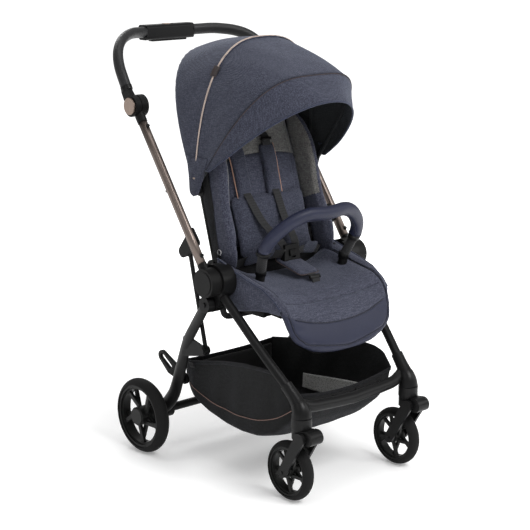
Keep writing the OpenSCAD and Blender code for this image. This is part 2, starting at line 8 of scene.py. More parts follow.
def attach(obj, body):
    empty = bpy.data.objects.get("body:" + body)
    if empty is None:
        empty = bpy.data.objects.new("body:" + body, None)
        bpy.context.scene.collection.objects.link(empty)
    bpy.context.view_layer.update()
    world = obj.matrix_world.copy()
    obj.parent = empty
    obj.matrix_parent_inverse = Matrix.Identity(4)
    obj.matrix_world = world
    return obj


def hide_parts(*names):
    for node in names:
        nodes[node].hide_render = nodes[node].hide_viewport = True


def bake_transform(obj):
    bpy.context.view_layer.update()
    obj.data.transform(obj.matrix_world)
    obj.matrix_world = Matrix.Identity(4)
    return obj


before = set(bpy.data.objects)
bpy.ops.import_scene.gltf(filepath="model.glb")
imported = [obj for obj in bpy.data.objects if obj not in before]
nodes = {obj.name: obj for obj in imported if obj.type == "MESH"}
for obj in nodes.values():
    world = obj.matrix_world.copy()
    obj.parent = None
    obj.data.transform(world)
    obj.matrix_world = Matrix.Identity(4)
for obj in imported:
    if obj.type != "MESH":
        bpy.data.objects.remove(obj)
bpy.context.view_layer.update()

sin, cos, pi, rad = math.sin, math.cos, math.pi, math.radians
RIGHT_LEFT = (("right", -1), ("left", 1))
scene = bpy.context.scene

# ------------------------------------------------------------------ materials

class Shader:
    """Small helper that builds one Principled node tree."""

    def __init__(self, name):
        self.m = bpy.data.materials.new(name)
        self.m.use_nodes = True
        self.t = self.m.node_tree
        self.p = self.t.nodes["Principled BSDF"]
        self.co = self.t.nodes.new("ShaderNodeTexCoord").outputs["Object"]

    def node(self, kind, **props):
        n = self.t.nodes.new("ShaderNode" + kind)
        for k, v in props.items():
            setattr(n, k, v)
        return n

    def put(self, socket, value):
        if isinstance(value, bpy.types.NodeSocket):
            self.t.links.new(value, socket)
        else:
            socket.default_value = value

    def math(self, op, a, b=0.0, c=None):
        n = self.node("Math", operation=op)
        self.put(n.inputs[0], a)
        self.put(n.inputs[1], b)
        if c is not None:
            self.put(n.inputs[2], c)
        return n.outputs[0]

    def noise(self, scale, detail=3.0, rough=0.55, stretch=(1, 1, 1), co=None):
        m = self.node("Mapping")
        self.put(m.inputs["Vector"], co or self.co)
        m.inputs["Scale"].default_value = stretch
        n = self.node("TexNoise")
        self.put(n.inputs["Vector"], m.outputs[0])
        n.inputs["Scale"].default_value = scale
        n.inputs["Detail"].default_value = detail
        n.inputs["Roughness"].default_value = rough
        return n.outputs["Fac"]

    def voronoi(self, scale, feature="F1"):
        n = self.node("TexVoronoi", feature=feature)
        self.put(n.inputs["Vector"], self.co)
        n.inputs["Scale"].default_value = scale
        return n.outputs["Distance"]

    def ramp(self, fac, *stops):
        n = self.node("ValToRGB")
        e = n.color_ramp.elements
        while len(e) < len(stops):
            e.new(0.5)
        for el, (pos, col) in zip(e, stops):
            el.position = pos
            el.color = (*col, 1) if len(col) == 3 else col
        self.put(n.inputs[0], fac)
        return n.outputs[0]

    def mix(self, fac, a, b, blend="MIX"):
        n = self.node("Mix", data_type="RGBA", blend_type=blend)
        self.put(n.inputs[0], fac)
        self.put(n.inputs[6], (*a, 1) if isinstance(a, tuple) and len(a) == 3 else a)
        self.put(n.inputs[7], (*b, 1) if isinstance(b, tuple) and len(b) == 3 else b)
        return n.outputs[2]

    def span(self, fac, low, high):
        n = self.node("MapRange")
        self.put(n.inputs["Value"], fac)
        n.inputs["To Min"].default_value = low
        n.inputs["To Max"].default_value = high
        return n.outputs["Result"]

    def bump(self, *layers):
        """layers are (height, strength, distance in metres), from the coarsest to the finest."""
        normal = None
        for height, strength, distance in layers:
            n = self.node("Bump")
            n.inputs["Strength"].default_value = strength
            n.inputs["Distance"].default_value = distance
            self.put(n.inputs["Height"], height)
            if normal is not None:
                self.put(n.inputs["Normal"], normal)
            normal = n.outputs[0]
        self.put(self.p.inputs["Normal"], normal)

    def set(self, **values):
        names = dict(base="Base Color", rough="Roughness", metal="Metallic", coat="Coat Weight",
                     coat_rough="Coat Roughness", sheen="Sheen Weight", sheen_rough="Sheen Roughness",
                     spec="Specular IOR Level", aniso="Anisotropic", alpha="Alpha", sheen_tint="Sheen Tint")
        for k, v in values.items():
            if isinstance(v, tuple) and len(v) == 3:
                v = (*v, 1)
            self.put(self.p.inputs[names[k]], v)
        return self.m

    def weave(self, pitch):
        """Plain weave that doesn't depend on UVs: threads cross along the object's own axes."""
        s = self.node("SeparateXYZ")
        self.put(s.inputs[0], self.co)
        k = 2 * pi / (2 * pitch)
        w = [self.math("SINE", self.math("MULTIPLY", s.outputs[i], k)) for i in range(3)]
        a = self.math("MULTIPLY", w[0], w[1])
        b = self.math("MULTIPLY", w[1], w[2])
        c = self.math("MULTIPLY", w[2], w[0])
        return self.math("MULTIPLY_ADD", self.math("ADD", self.math("ADD", a, b), c), 0.33, 0.5)


def melange(name, dark, mid, light, pitch=0.0011, sheen=0.25, contrast=1.0):
    """Woven melange cloth: fine threads, yarns of mixed shade both ways, and slow colour drift."""
    s = Shader(name)
    across = s.noise(520, 3, 0.6, (0.14, 1, 1))
    up = s.noise(520, 3, 0.6, (1, 1, 0.14))
    deep = s.noise(520, 3, 0.6, (1, 0.14, 1))
    yarn = s.math("MULTIPLY", s.math("ADD", s.math("ADD", across, up), deep), 1 / 3)
    c = 0.075 / contrast
    col = s.ramp(yarn, (0.5 - c, dark), (0.5, mid), (0.5 + c, light))
    w = s.weave(pitch)
    col = s.mix(s.span(w, 0.25, 0.0), col, dark)
    col = s.mix(s.span(s.noise(9, 2), 0.0, 0.22), col, dark)
    s.bump((s.noise(28, 3), 0.22, 0.004), (yarn, 0.35, 0.0007), (w, 0.7, 0.0006))
    return s.set(base=col, rough=s.span(yarn, 0.78, 0.95), sheen=sheen, sheen_rough=0.45, spec=0.25,
                 sheen_tint=(0.6, 0.65, 0.8))


def plastic(name, col, rough=0.46, grain=900, coat=0.0, wear=1.0):
    """Moulded plastic: spark-eroded grain, faint flow marks and handling scuffs."""
    s = Shader(name)
    lighter = tuple(c * 1.7 + 0.0015 for c in col)
    slow = s.noise(14, 4)
    scuff = s.ramp(s.noise(70, 8, 0.75, (1, 1, 0.3)), (0.6, (0, 0, 0)), (0.72, (1, 1, 1)))
    base = s.mix(s.math("MULTIPLY", slow, 0.35), col, lighter)
    base = s.mix(s.math("MULTIPLY", scuff, 0.1 * wear), base, lighter)
    s.bump((s.noise(60, 2), 0.05, 0.001), (s.voronoi(grain), 0.18, 0.00012))
    r = s.math("ADD", s.span(slow, rough - 0.07, rough + 0.07), s.math("MULTIPLY", scuff, 0.08))
    return s.set(base=base, rough=r, coat=coat, coat_rough=0.22, spec=0.13)


def powder(name, col, rough=0.42):
    """Powder-coated tube: orange peel, fine sparkle and dust in the texture."""
    s = Shader(name)
    slow = s.noise(10, 3)
    fine = s.noise(1500, 2)
    base = s.mix(s.span(fine, 0.0, 0.5), col, tuple(c * 1.8 + 0.0015 for c in col))
    base = s.mix(s.math("MULTIPLY", slow, 0.25), base, tuple(c * 0.6 for c in col))
    s.bump((s.noise(420, 2), 0.1, 0.0004), (fine, 0.12, 0.0001))
    return s.set(base=base, rough=s.span(slow, rough - 0.06, rough + 0.1), spec=0.13)


def anodised(name, dark, light, rough=0.28, along=(1, 1, 0.03)):
    """Anodised or metallic-painted aluminium with a faint drawn grain."""
    s = Shader(name)
    grain = s.noise(900, 4, 0.6, along)
    slow = s.noise(12, 3)
    base = s.mix(s.span(grain, 0.0, 1.0), dark, light)
    base = s.mix(s.math("MULTIPLY", slow, 0.3), base, dark)
    s.bump((grain, 0.06, 0.0002),)
    return s.set(base=base, metal=0.9, rough=s.span(grain, rough - 0.05, rough + 0.12))


def leather(name, dark, light, rough=0.42, cell=520, coat=0.05):
    """Leatherette: pebbled cells, fine creases and a slow change of shade."""
    s = Shader(name)
    cells = s.voronoi(cell, "DISTANCE_TO_EDGE")
    crease = s.noise(120, 6, 0.7)
    slow = s.noise(16, 4)
    base = s.mix(slow, dark, light)
    base = s.mix(s.ramp(cells, (0.0, (0.35, 0.35, 0.35)), (0.12, (0, 0, 0))), base, dark)
    s.bump((s.noise(40, 3), 0.1, 0.003), (crease, 0.12, 0.0006),
           (s.ramp(cells, (0, (0, 0, 0)), (0.25, (1, 1, 1))), 0.35, 0.00025))
    return s.set(base=base, rough=s.span(crease, rough - 0.06, rough + 0.12), coat=coat, coat_rough=0.35,
                 spec=0.26)


def rubber(name, col):
    """Foam-filled tyre: fine moulding skin, a dusty bloom and tread wear."""
    s = Shader(name)
    slow = s.noise(22, 5, 0.65)
    dusty = s.noise(260, 4)
    base = s.mix(s.math("MULTIPLY", slow, 0.5), col, tuple(c * 1.7 + 0.003 for c in col))
    base = s.mix(s.span(dusty, 0.0, 0.1), base, (0.03, 0.029, 0.027))
    s.bump((s.noise(90, 4), 0.12, 0.0012), (s.noise(1400, 2), 0.3, 0.00018))
    return s.set(base=base, rough=s.span(slow, 0.6, 0.82), spec=0.12)


def webbing(name, col, pitch=0.0016):
    s = Shader(name)
    w = s.weave(pitch)
    base = s.mix(s.span(w, 0.0, 0.6), col, tuple(c * 2.2 + 0.01 for c in col))
    base = s.mix(s.math("MULTIPLY", s.noise(60, 3), 0.3), base, tuple(c * 0.5 for c in col))
    s.bump((s.noise(90, 3), 0.1, 0.001), (w, 0.8, 0.0006))
    return s.set(base=base, rough=0.72, sheen=0.08, spec=0.2)


def mesh_cloth(name, col, hole=0.0032):
    """Open spacer mesh: round holes shown by colour and relief, so that it stays one closed sheet."""
    s = Shader(name)
    d = s.voronoi(1 / hole)
    holes = s.ramp(d, (0.3, (0, 0, 0)), (0.42, (1, 1, 1)))
    base = s.mix(holes, tuple(c * 0.25 for c in col), col)
    base = s.mix(s.math("MULTIPLY", s.noise(30, 3), 0.3), base, tuple(c * 1.6 for c in col))
    s.bump((s.noise(50, 3), 0.1, 0.001), (holes, 0.6, 0.0006))
    return s.set(base=base, rough=0.8, sheen=0.1, spec=0.3)


def floor_paper(name):
    s = Shader(name)
    n = s.noise(3, 3)
    s.bump((s.noise(300, 2), 0.02, 0.0005),)
    # painted light: the floor glows through its emission, dimly near the stroller and brightly further out, so the far
    # floor turns white
    at = s.node("SeparateXYZ")
    s.put(at.inputs[0], s.co)
    away = s.math("MULTIPLY", s.math("ADD", s.math("MULTIPLY", at.outputs[0], at.outputs[0]),
                                     s.math("MULTIPLY", at.outputs[1], at.outputs[1])), 1 / 16)
    glow = s.ramp(away, (0.015, (0.2, 0.2, 0.2)), (0.1, (0.85, 0.85, 0.85)))
    s.put(s.p.inputs["Emission Color"], glow)
    s.p.inputs["Emission Strength"].default_value = 1.0
    return s.set(base=s.mix(n, (0.9, 0.9, 0.9), (0.93, 0.93, 0.93)), rough=0.6, spec=0.2)


NAVY = melange("melange_navy", (0.014, 0.0162, 0.0262), (0.03, 0.0325, 0.051), (0.064, 0.067, 0.096))
NAVY_SEAT = melange("melange_navy_seat", (0.0185, 0.0202, 0.0325), (0.038, 0.0405, 0.0625),
                    (0.085, 0.0885, 0.121), 0.0013)
NAVY_PLAIN = melange("navy_plain", (0.014, 0.017, 0.032), (0.022, 0.026, 0.048), (0.034, 0.039, 0.068),
                     0.0009)
GREY = melange("melange_grey", (0.07, 0.069, 0.066), (0.132, 0.129, 0.123), (0.215, 0.21, 0.2), 0.0012)
LINING = melange("canopy_lining", (0.008, 0.009, 0.01), (0.014, 0.0155, 0.016), (0.021, 0.023, 0.024),
                 0.001, 0.1)
BASKET_CLOTH = melange("basket_cloth", (0.0035, 0.0035, 0.0035), (0.0066, 0.0066, 0.0066),
                       (0.0125, 0.0125, 0.0125), 0.0012, 0.06)
BLACK_CLOTH = melange("black_cloth", (0.0038, 0.0038, 0.0042), (0.0072, 0.0072, 0.008),
                      (0.013, 0.013, 0.0145), 0.001, 0.07)
NAVY_LEATHER = leather("navy_leatherette", (0.008, 0.0098, 0.0255), (0.0128, 0.0155, 0.037), 0.46)
GRIP_LEATHER = leather("grip_leatherette", (0.008, 0.008, 0.0088), (0.0155, 0.0155, 0.0165), 0.46, 620)
PATCH_LEATHER = leather("patch_leatherette", (0.02, 0.014, 0.014), (0.045, 0.032, 0.03), 0.5, 800)
FRAME_BLACK = powder("frame_powder_coat", (0.004, 0.004, 0.0042))
PLASTIC = plastic("moulded_black", (0.004, 0.004, 0.0042))
PLASTIC_SATIN = plastic("moulded_satin", (0.005, 0.005, 0.0052), 0.36, 700, 0.04)
PLASTIC_GREY = plastic("hub_disc", (0.0042, 0.0042, 0.0042), 0.5, 600)
RIM = plastic("rim_moulding", (0.01, 0.0102, 0.01), 0.4, 800, 0.04)
BRONZE = anodised("bronze_tube", (0.104, 0.083, 0.073), (0.222, 0.181, 0.16), 0.34, (0.5, 0.02, 0.02))
ROSE = anodised("rose_gold", (0.24, 0.178, 0.148), (0.42, 0.335, 0.285), 0.32)
STEEL = anodised("steel", (0.3, 0.3, 0.31), (0.62, 0.62, 0.64), 0.24)
TYRE = rubber("tyre_rubber", (0.0058, 0.0058, 0.006))
WEBBING = webbing("harness_webbing", (0.009, 0.009, 0.01))
PIPING = webbing("rose_piping", (0.34, 0.2, 0.155), 0.0008)
PIPING_DULL = webbing("rose_piping_dull", (0.19, 0.118, 0.098), 0.0008)
PIPING_DARK = webbing("brown_piping", (0.05, 0.034, 0.032), 0.0008)
ZIP_COIL = webbing("zip_coil", (0.5, 0.405, 0.35), 0.0006)
NAVY_THREAD = webbing("navy_piping", (0.008, 0.009, 0.017), 0.0007)
THREAD = webbing("stitch_thread", (0.045, 0.047, 0.062), 0.0005)
MESH = mesh_cloth("spacer_mesh", (0.02, 0.02, 0.021))
MESH_GREY = mesh_cloth("spacer_mesh_grey", (0.42, 0.42, 0.41))
PAPER = floor_paper("studio_paper")

# ------------------------------------------------------------------ mesh tools

def new_mesh(name, verts, faces, mats, smooth=True, face_mats=None):
    me = bpy.data.meshes.new(name)
    me.from_pydata([tuple(map(float, v)) for v in verts], [], [tuple(f) for f in faces])
    me.validate()
    for m in (mats if isinstance(mats, (list, tuple)) else [mats]):
        me.materials.append(m)
    me.polygons.foreach_set("use_smooth", [smooth] * len(me.polygons))
    if face_mats is not None and len(face_mats) == len(me.polygons):
        me.polygons.foreach_set("material_index", list(face_mats))
    me.update()
    o = bpy.data.objects.new(name, me)
    scene.collection.objects.link(o)
    return o


def applied(o):
    """Bakes the modifiers into the mesh."""
    bpy.context.view_layer.update()
    dg = bpy.context.evaluated_depsgraph_get()
    me = bpy.data.meshes.new_from_object(o.evaluated_get(dg), depsgraph=dg)
    old = o.data
    o.modifiers.clear()
    o.data = me
    bpy.data.meshes.remove(old)
    return o


def modify(o, kind, **props):
    m = o.modifiers.new(kind.lower(), kind)
    for k, v in props.items():
        setattr(m, k, v)
    return m


def subdivide(o, levels=1):
    modify(o, "SUBSURF", levels=levels, render_levels=levels)
    return applied(o)


def join(name, parts):
    """Joins several objects into one, keeping their materials."""
    bpy.context.view_layer.update()
    mats, verts, faces, fm, smooth = [], [], [], [], []
    for o in parts:
        base = len(verts)
        index = []
        for m in o.data.materials:
            if m not in mats:
                mats.append(m)
            index.append(mats.index(m))
        mw = o.matrix_world
        verts += [mw @ v.co for v in o.data.vertices]
        for p in o.data.polygons:
            faces.append([base + i for i in p.vertices])
            fm.append(index[p.material_index])
            smooth.append(p.use_smooth)
    me = bpy.data.meshes.new(name)
    me.from_pydata([tuple(v) for v in verts], [], faces)
    for m in mats:
        me.materials.append(m)
    me.polygons.foreach_set("material_index", fm)
    me.polygons.foreach_set("use_smooth", smooth)
    me.update()
    for o in parts:
        old = o.data
        bpy.data.objects.remove(o)
        if old.users == 0:
            bpy.data.meshes.remove(old)
    o = bpy.data.objects.new(name, me)
    scene.collection.objects.link(o)
    return o


def smooth_path(points, n=8, closed=False):
    """Catmull-Rom curve through the points."""
    p = [np.array(q, float) for q in points]
    if closed:
        p = [p[-1]] + p + [p[0], p[1]]
    else:
        p = [2 * p[0] - p[1]] + p + [2 * p[-1] - p[-2]]
    out = []
    for i in range(1, len(p) - 2):
        for k in range(n):
            t = k / n
            out.append(0.5 * (2 * p[i] + (p[i + 1] - p[i - 1]) * t + (2 * p[i - 1] - 5 * p[i] + 4 * p[i + 1] - p[i + 2]) * t * t
                              + (3 * p[i] - p[i - 1] - 3 * p[i + 1] + p[i + 2]) * t ** 3))
    if not closed:
        out.append(p[-2])
    return np.array(out)


def corner_path(points, r, n=8):
    """Polyline whose corners are rounded, as the frame's own tubes are."""
    p = [np.array(q, float) for q in points]
    out = [p[0]]
    for i in range(1, len(p) - 1):
        a, b = p[i - 1] - p[i], p[i + 1] - p[i]
        ra, rb = min(r, np.linalg.norm(a) * 0.49), min(r, np.linalg.norm(b) * 0.49)
        a, b = p[i] + a / np.linalg.norm(a) * ra, p[i] + b / np.linalg.norm(b) * rb
        for k in range(n + 1):
            t = k / n
            out.append(a * (1 - t) ** 2 + p[i] * 2 * t * (1 - t) + b * t * t)
    out.append(p[-1])
    return np.array(out)


def resample(path, step):
    path = np.array(path, float)
    d = np.r_[0, np.cumsum(np.linalg.norm(np.diff(path, axis=0), axis=1))]
    n = max(2, int(round(d[-1] / step)) + 1)
    s = np.linspace(0, d[-1], n)
    return np.stack([np.interp(s, d, path[:, i]) for i in range(3)], 1)


def sweep(name, path, profile, mats, ref=(1, 0, 0), closed=False, cap=True, scale=None, band=None):
    """Sweeps a closed profile [(a along ref, b across)] along a path. scale(t) grows it, band(i, k) picks a material."""
    path = np.array(path, float)
    n, m = len(path), len(profile)
    nxt = np.roll(path, -1, 0) if closed else np.vstack([path[1:], path[-1:]])
    prv = np.roll(path, 1, 0) if closed else np.vstack([path[:1], path[:-1]])
    tan = nxt - prv
    tan /= np.linalg.norm(tan, axis=1)[:, None]
    ref = np.array(ref, float)
    verts = []
    for i in range(n):
        u = ref - tan[i] * np.dot(ref, tan[i])
        u /= np.linalg.norm(u)
        v = np.cross(tan[i], u)
        g = scale(i / (n - 1)) if scale else 1.0
        for a, b in profile:
            verts.append(path[i] + (u * a + v * b) * g)
    faces, fm = [], []
    for i in range(n if closed else n - 1):
        j = (i + 1) % n
        for k in range(m):
            q = (k + 1) % m
            faces.append((i * m + k, i * m + q, j * m + q, j * m + k))
            fm.append(band(i, k) if band else 0)
    if cap and not closed:
        faces.append(tuple(reversed(range(m))))
        faces.append(tuple(range((n - 1) * m, n * m)))
        fm += [fm[0], fm[-1]]
    return new_mesh(name, verts, faces, mats, face_mats=fm)


def signed_power(x, k):
    return math.copysign(abs(x) ** k, x)


def oval(a, b, n=20, power=2.0):
    k = 2 / power
    return [(a * signed_power(cos(t), k), b * signed_power(sin(t), k))
            for t in (2 * pi * i / n for i in range(n))]


def thread_tube(name, path, r, mat, step=0.004, closed=False):
    p = resample(path, step)
    if closed:
        p = p[:-1]
    d = p[-1] - p[0] if not closed else np.array([0, 0, 1.0])
    ref = (0.3, 1, 0.2) if abs(d[0]) > abs(d[1]) else (1, 0.2, 0.3)
    return sweep(name, p, oval(r, r, 8), mat, ref, closed=closed)


def stitches(name, path, mat, pitch=0.0045, length=0.003, r=0.0004):
    """A row of raised stitches along a path that already lies on the surface."""
    p = resample(path, 0.0005)
    step, n = int(pitch / 0.0005), int(length / 0.0005)
    parts = []
    for i in range(0, len(p) - n - 1, step):
        seg = p[i:i + n + 1:2]
        parts.append(sweep("s", seg, oval(r, r, 5), mat, (0.31, 0.62, 0.72)))
    return join(name, parts)


def grid(name, P, mats, closed_u=False, closed_v=False, flip=False, face_mats=None):
    """P[i][j] -> a quad sheet."""
    P = np.array(P, float)
    nu, nv = P.shape[:2]
    faces, fm = [], []
    for i in range(nu if closed_u else nu - 1):
        for j in range(nv if closed_v else nv - 1):
            a, b, c, d = i * nv + j, i * nv + (j + 1) % nv, ((i + 1) % nu) * nv + (j + 1) % nv, ((i + 1) % nu) * nv + j
            faces.append((a, d, c, b) if flip else (a, b, c, d))
            fm.append(face_mats(i, j) if face_mats else 0)
    return new_mesh(name, P.reshape(-1, 3), faces, mats, face_mats=fm)


def pad(name, outline, front, back, place, mats, rings=12, edge=2.6, crown=2.2, centre=None):
    """Closed crowned cushion over a 2D outline. place(a, b, h) maps it into the row frame; h is towards the front."""
    outline = np.array(outline, float)
    c = outline.mean(0) if centre is None else np.array(centre, float)
    m = len(outline)
    verts, faces = [place(c[0], c[1], front), ], []
    shares = [sin(0.5 * pi * (k + 1) / rings) for k in range(rings)]
    for side, thick in ((1, front), (-1, back)):
        for s in shares[:-1]:
            h = side * thick * max(0.0, 1 - s ** edge) ** (1 / crown)
            verts += [place(*(c + (o - c) * s), h) for o in outline]
    rim = len(verts)
    verts += [place(*o, 0.0) for o in outline]
    low = len(verts)
    verts.append(place(c[0], c[1], -back))
    inner = rings - 1

    def ring(side, k):
        return rim if k == inner else 1 + (0 if side > 0 else inner * m) + k * m

    for side, pole in ((1, 0), (-1, low)):
        for j in range(m):
            q = (j + 1) % m
            f = (pole, ring(side, 0) + j, ring(side, 0) + q)
            faces.append(f if side > 0 else f[::-1])
            for k in range(inner):
                a, b = ring(side, k), ring(side, k + 1)
                f = (a + j, b + j, b + q, a + q)
                faces.append(f if side > 0 else f[::-1])
    return new_mesh(name, verts, faces, mats)


def rounded(points, r, n=6):
    """Closed 2D outline with rounded corners. r may be one radius or one per corner."""
    p = [np.array(q, float) for q in points]
    out = []
    for i, c in enumerate(p):
        a, b = p[i - 1] - c, p[(i + 1) % len(p)] - c
        rr = r[i] if hasattr(r, "__len__") else r
        la, lb = np.linalg.norm(a), np.linalg.norm(b)
        rr = min(rr, 0.49 * la, 0.49 * lb)
        a, b = c + a / la * rr, c + b / lb * rr
        for k in range(n + 1):
            t = k / n
            out.append(a * (1 - t) ** 2 + c * 2 * t * (1 - t) + b * t * t)
    out = np.array(out)
    ring = np.vstack([out, out[:1]])
    d = np.r_[0, np.cumsum(np.linalg.norm(np.diff(ring, axis=0), axis=1))]
    s = np.linspace(0, d[-1], int(d[-1] / 0.008) + 1)[:-1]
    return np.stack([np.interp(s, d, ring[:, i]) for i in range(2)], 1)


def coords(o):
    co = np.empty(len(o.data.vertices) * 3)
    o.data.vertices.foreach_get("co", co)
    return co.reshape(-1, 3)


def set_coords(o, co):
    o.data.vertices.foreach_set("co", np.asarray(co, float).ravel())
    o.data.update()


def puff(o, cap=0.008, pressure=4.0, voxel=0.005, hold=None, levels=1):
    """Inflates a closed cushion with cloth simulation. hold(co) -> True where the cloth is sewn down."""
    mats = list(o.data.materials)
    modify(o, "REMESH", mode="VOXEL", voxel_size=voxel, use_smooth_shade=True)
    applied(o)
    rest = coords(o)
    if hold is not None:
        g = o.vertex_groups.new(name="held")
        g.add([i for i, c in enumerate(rest) if hold(c)], 1.0, "REPLACE")
    c = modify(o, "CLOTH")
    s = c.settings
    s.quality = 4
    s.mass = 0.25
    s.tension_stiffness = s.compression_stiffness = 18
    s.shear_stiffness = 8
    s.bending_stiffness = 0.6
    s.use_pressure = True
    s.uniform_pressure_force = pressure
    s.effector_weights.gravity = 0
    if hold is not None:
        s.vertex_group_mass = "held"
    c.point_cache.frame_start, c.point_cache.frame_end = 1, 20
    for f in range(1, 21):
        scene.frame_set(f)
    dg = bpy.context.evaluated_depsgraph_get()
    now = np.empty(len(rest) * 3)
    o.evaluated_get(dg).data.vertices.foreach_get("co", now)
    d = now.reshape(-1, 3) - rest
    size = np.linalg.norm(d, axis=1)[:, None]
    d *= np.minimum(1, cap / np.maximum(size, 1e-9))
    o.modifiers.clear()
    set_coords(o, rest + d)
    scene.frame_set(1)
    modify(o, "SMOOTH", factor=0.5, iterations=2)
    applied(o)
    if levels:
        subdivide(o, levels)
    if not o.data.materials:
        for m in mats:
            o.data.materials.append(m)
    o.data.polygons.foreach_set("use_smooth", [True] * len(o.data.polygons))
    return o


def channel(o, lines, depth, width, facing=None):
    """Presses sewn channels into a cushion along 3D polylines."""
    co = coords(o)
    no = np.array([v.normal for v in o.data.vertices], float)
    push = np.zeros(len(co))
    for line in lines:
        line = resample(line, width * 0.4)
        near = np.full(len(co), 1e9)
        for k in range(0, len(line), 64):
            near = np.minimum(near, np.linalg.norm(co[:, None] - line[None, k:k + 64], axis=2).min(1))
        push = np.maximum(push, np.exp(-(near / width) ** 2))
    if facing is not None:
        push *= np.clip((no @ np.array(facing, float)) * 2.5, 0, 1)
    set_coords(o, co - no * (push * depth)[:, None])
    return o


def surface(o):
    return BVHTree.FromPolygons([v.co for v in o.data.vertices], [p.vertices for p in o.data.polygons])


def lay_on(tree, line, lift, step=0.004, towards=None):
    """Drops a line onto a surface and lifts it by that much."""
    out = []
    for p in resample(line, step):
        if towards is not None:
            d = Vector(towards)
            hit = tree.ray_cast(Vector(p) - d * 0.15, d, 0.4)
        else:
            hit = tree.find_nearest(Vector(p))
        if hit[0] is None:
            hit = tree.find_nearest(Vector(p))
        n = Vector(hit[1])
        if towards is not None and n.dot(Vector(towards)) > 0:
            n = -n
        out.append(np.array(hit[0] + n * lift))
    out = np.array(out)
    for _ in range(2):
        out[1:-1] = (out[:-2] + 2 * out[1:-1] + out[2:]) / 4
    return out


def ride(o, body):
    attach(o, body)
    return o

# ------------------------------------------------------------------ carried-over CAD pieces

CAD_FINISH = {}
# every other node is plain moulded plastic
for finish, keys in (
    (FRAME_BLACK, "front_leg_right front_leg_left seat_crossbar rear_leg_right rear_leg_left rear_axle "
          "backrest_frame"),
    (PLASTIC_SATIN, "front_crossbar hub_housing_right hub_housing_left caster_housing_right "
          "caster_housing_left handle_console harness_buckle caster_fork_right caster_fork_left"),
    (PLASTIC_GREY, "fold_hub_right fold_hub_left buckle_button"),
    (ROSE, "safety_slider handle_button_right handle_button_left"),
    (BLACK_CLOTH, "back_shell"),
    (RIM, "front_rim_right front_rim_left rear_rim_right rear_rim_left"),
    (TYRE, "front_tyre_right front_tyre_left rear_tyre_right rear_tyre_left"),
    (BASKET_CLOTH, "basket"),
    (NAVY_LEATHER, "bumper_bar legrest_pad"),
    (GRIP_LEATHER, "handlebar"),
    (BRONZE, "push_tube_right push_tube_left"),
    (NAVY_SEAT, "seat_cushion"),
    (NAVY, "crotch_strap back_cushion shoulder_harness canopy_rear canopy_middle canopy_front "
          "seat_lever_right seat_lever_left"),
):
    CAD_FINISH.update((key, finish) for key in keys.split())
for key, o in nodes.items():
    finish = CAD_FINISH.get(key, PLASTIC)
    if not o.data.materials:
        o.data.materials.append(finish)
    for i in range(len(o.data.materials)):
        o.data.materials[i] = finish
    modify(o, "WELD", merge_threshold=0.00001)
    modify(o, "BEVEL", width=0.0009, segments=2, limit_method="ANGLE", angle_limit=rad(38),
           use_clamp_overlap=True, harden_normals=False)
    modify(o, "WEIGHTED_NORMAL", keep_sharp=False, weight=60)

# ------------------------------------------------------------------ soft goods: shared helpers

def facing_normals(P, away):
    n = np.cross(np.gradient(P, axis=0), np.gradient(P, axis=1))
    n /= np.maximum(np.linalg.norm(n, axis=2), 1e-9)[..., None]
    return n * np.where(np.einsum("ijk,ijk->ij", n, P - np.array(away, float)) < 0, -1.0, 1.0)[..., None]


def cloth(name, P, away, thick, outer, inner=None):
    """Closed two-layer cloth: P is its outer face, and away is a point on the inner side."""
    P = np.array(P, float)
    nu, nv = P.shape[:2]
    N = facing_normals(P, away)
    Q = P - N * thick
    flip = np.dot(np.cross(P[1, 0] - P[0, 0], P[0, 1] - P[0, 0]), N[0, 0])
    if abs(flip) < 1e-12:
        flip = np.dot(np.cross(P[nu // 2 + 1, nv // 2] - P[nu // 2, nv // 2],
                               P[nu // 2, nv // 2 + 1] - P[nu // 2, nv // 2]), N[nu // 2, nv // 2])
    a = lambda i, j: i * nv + j
    b = lambda i, j: nu * nv + i * nv + j
    faces, fm = [], []

    def add(f, m):
        faces.append(f if flip > 0 else f[::-1])
        fm.append(m)

    for i in range(nu - 1):
        for j in range(nv - 1):
            add((a(i, j), a(i + 1, j), a(i + 1, j + 1), a(i, j + 1)), 0)
            add((b(i, j), b(i, j + 1), b(i + 1, j + 1), b(i + 1, j)), 1)
    for i in range(nu - 1):
        add((a(i, 0), b(i, 0), b(i + 1, 0), a(i + 1, 0)), 0)
        add((a(i, nv - 1), a(i + 1, nv - 1), b(i + 1, nv - 1), b(i, nv - 1)), 0)
    for j in range(nv - 1):
        add((a(0, j), a(0, j + 1), b(0, j + 1), b(0, j)), 0)
        add((a(nu - 1, j), b(nu - 1, j), b(nu - 1, j + 1), a(nu - 1, j + 1)), 0)
    return new_mesh(name, np.vstack([P.reshape(-1, 3), Q.reshape(-1, 3)]), faces, [outer, inner or outer],
                    face_mats=fm)


def cut_size(P):
    """(width, length, area) of a sheet, measured along it."""
    P = np.array(P, float)
    along_u = np.linalg.norm(np.diff(P, axis=0), axis=2).sum(0).max()
    along_v = np.linalg.norm(np.diff(P, axis=1), axis=2).sum(1).max()
    area = 0.5 * (np.linalg.norm(np.cross(P[1:, :-1] - P[:-1, :-1], P[:-1, 1:] - P[:-1, :-1]), axis=2).sum()
                  + np.linalg.norm(np.cross(P[1:, :-1] - P[1:, 1:], P[:-1, 1:] - P[1:, 1:]), axis=2).sum())
    return along_v, along_u, area


SHEETS = {}


def as_sheet(o, P, held):
    w, l, area = cut_size(P)
    w, l = round(float(w), 3), round(float(l), 3)
    area = min(max(area, 0.3 * w * l), w * l)
    SHEETS[o.name] = (w, l, round(float(area), 4), held)
    return o


def paint(o, mats, choose):
    """Gives each face the material that choose(centre, normal) names by number."""
    o.data.materials.clear()
    for m in mats:
        o.data.materials.append(m)
    o.data.polygons.foreach_set("material_index", [choose(p.center, p.normal) for p in o.data.polygons])
    return o


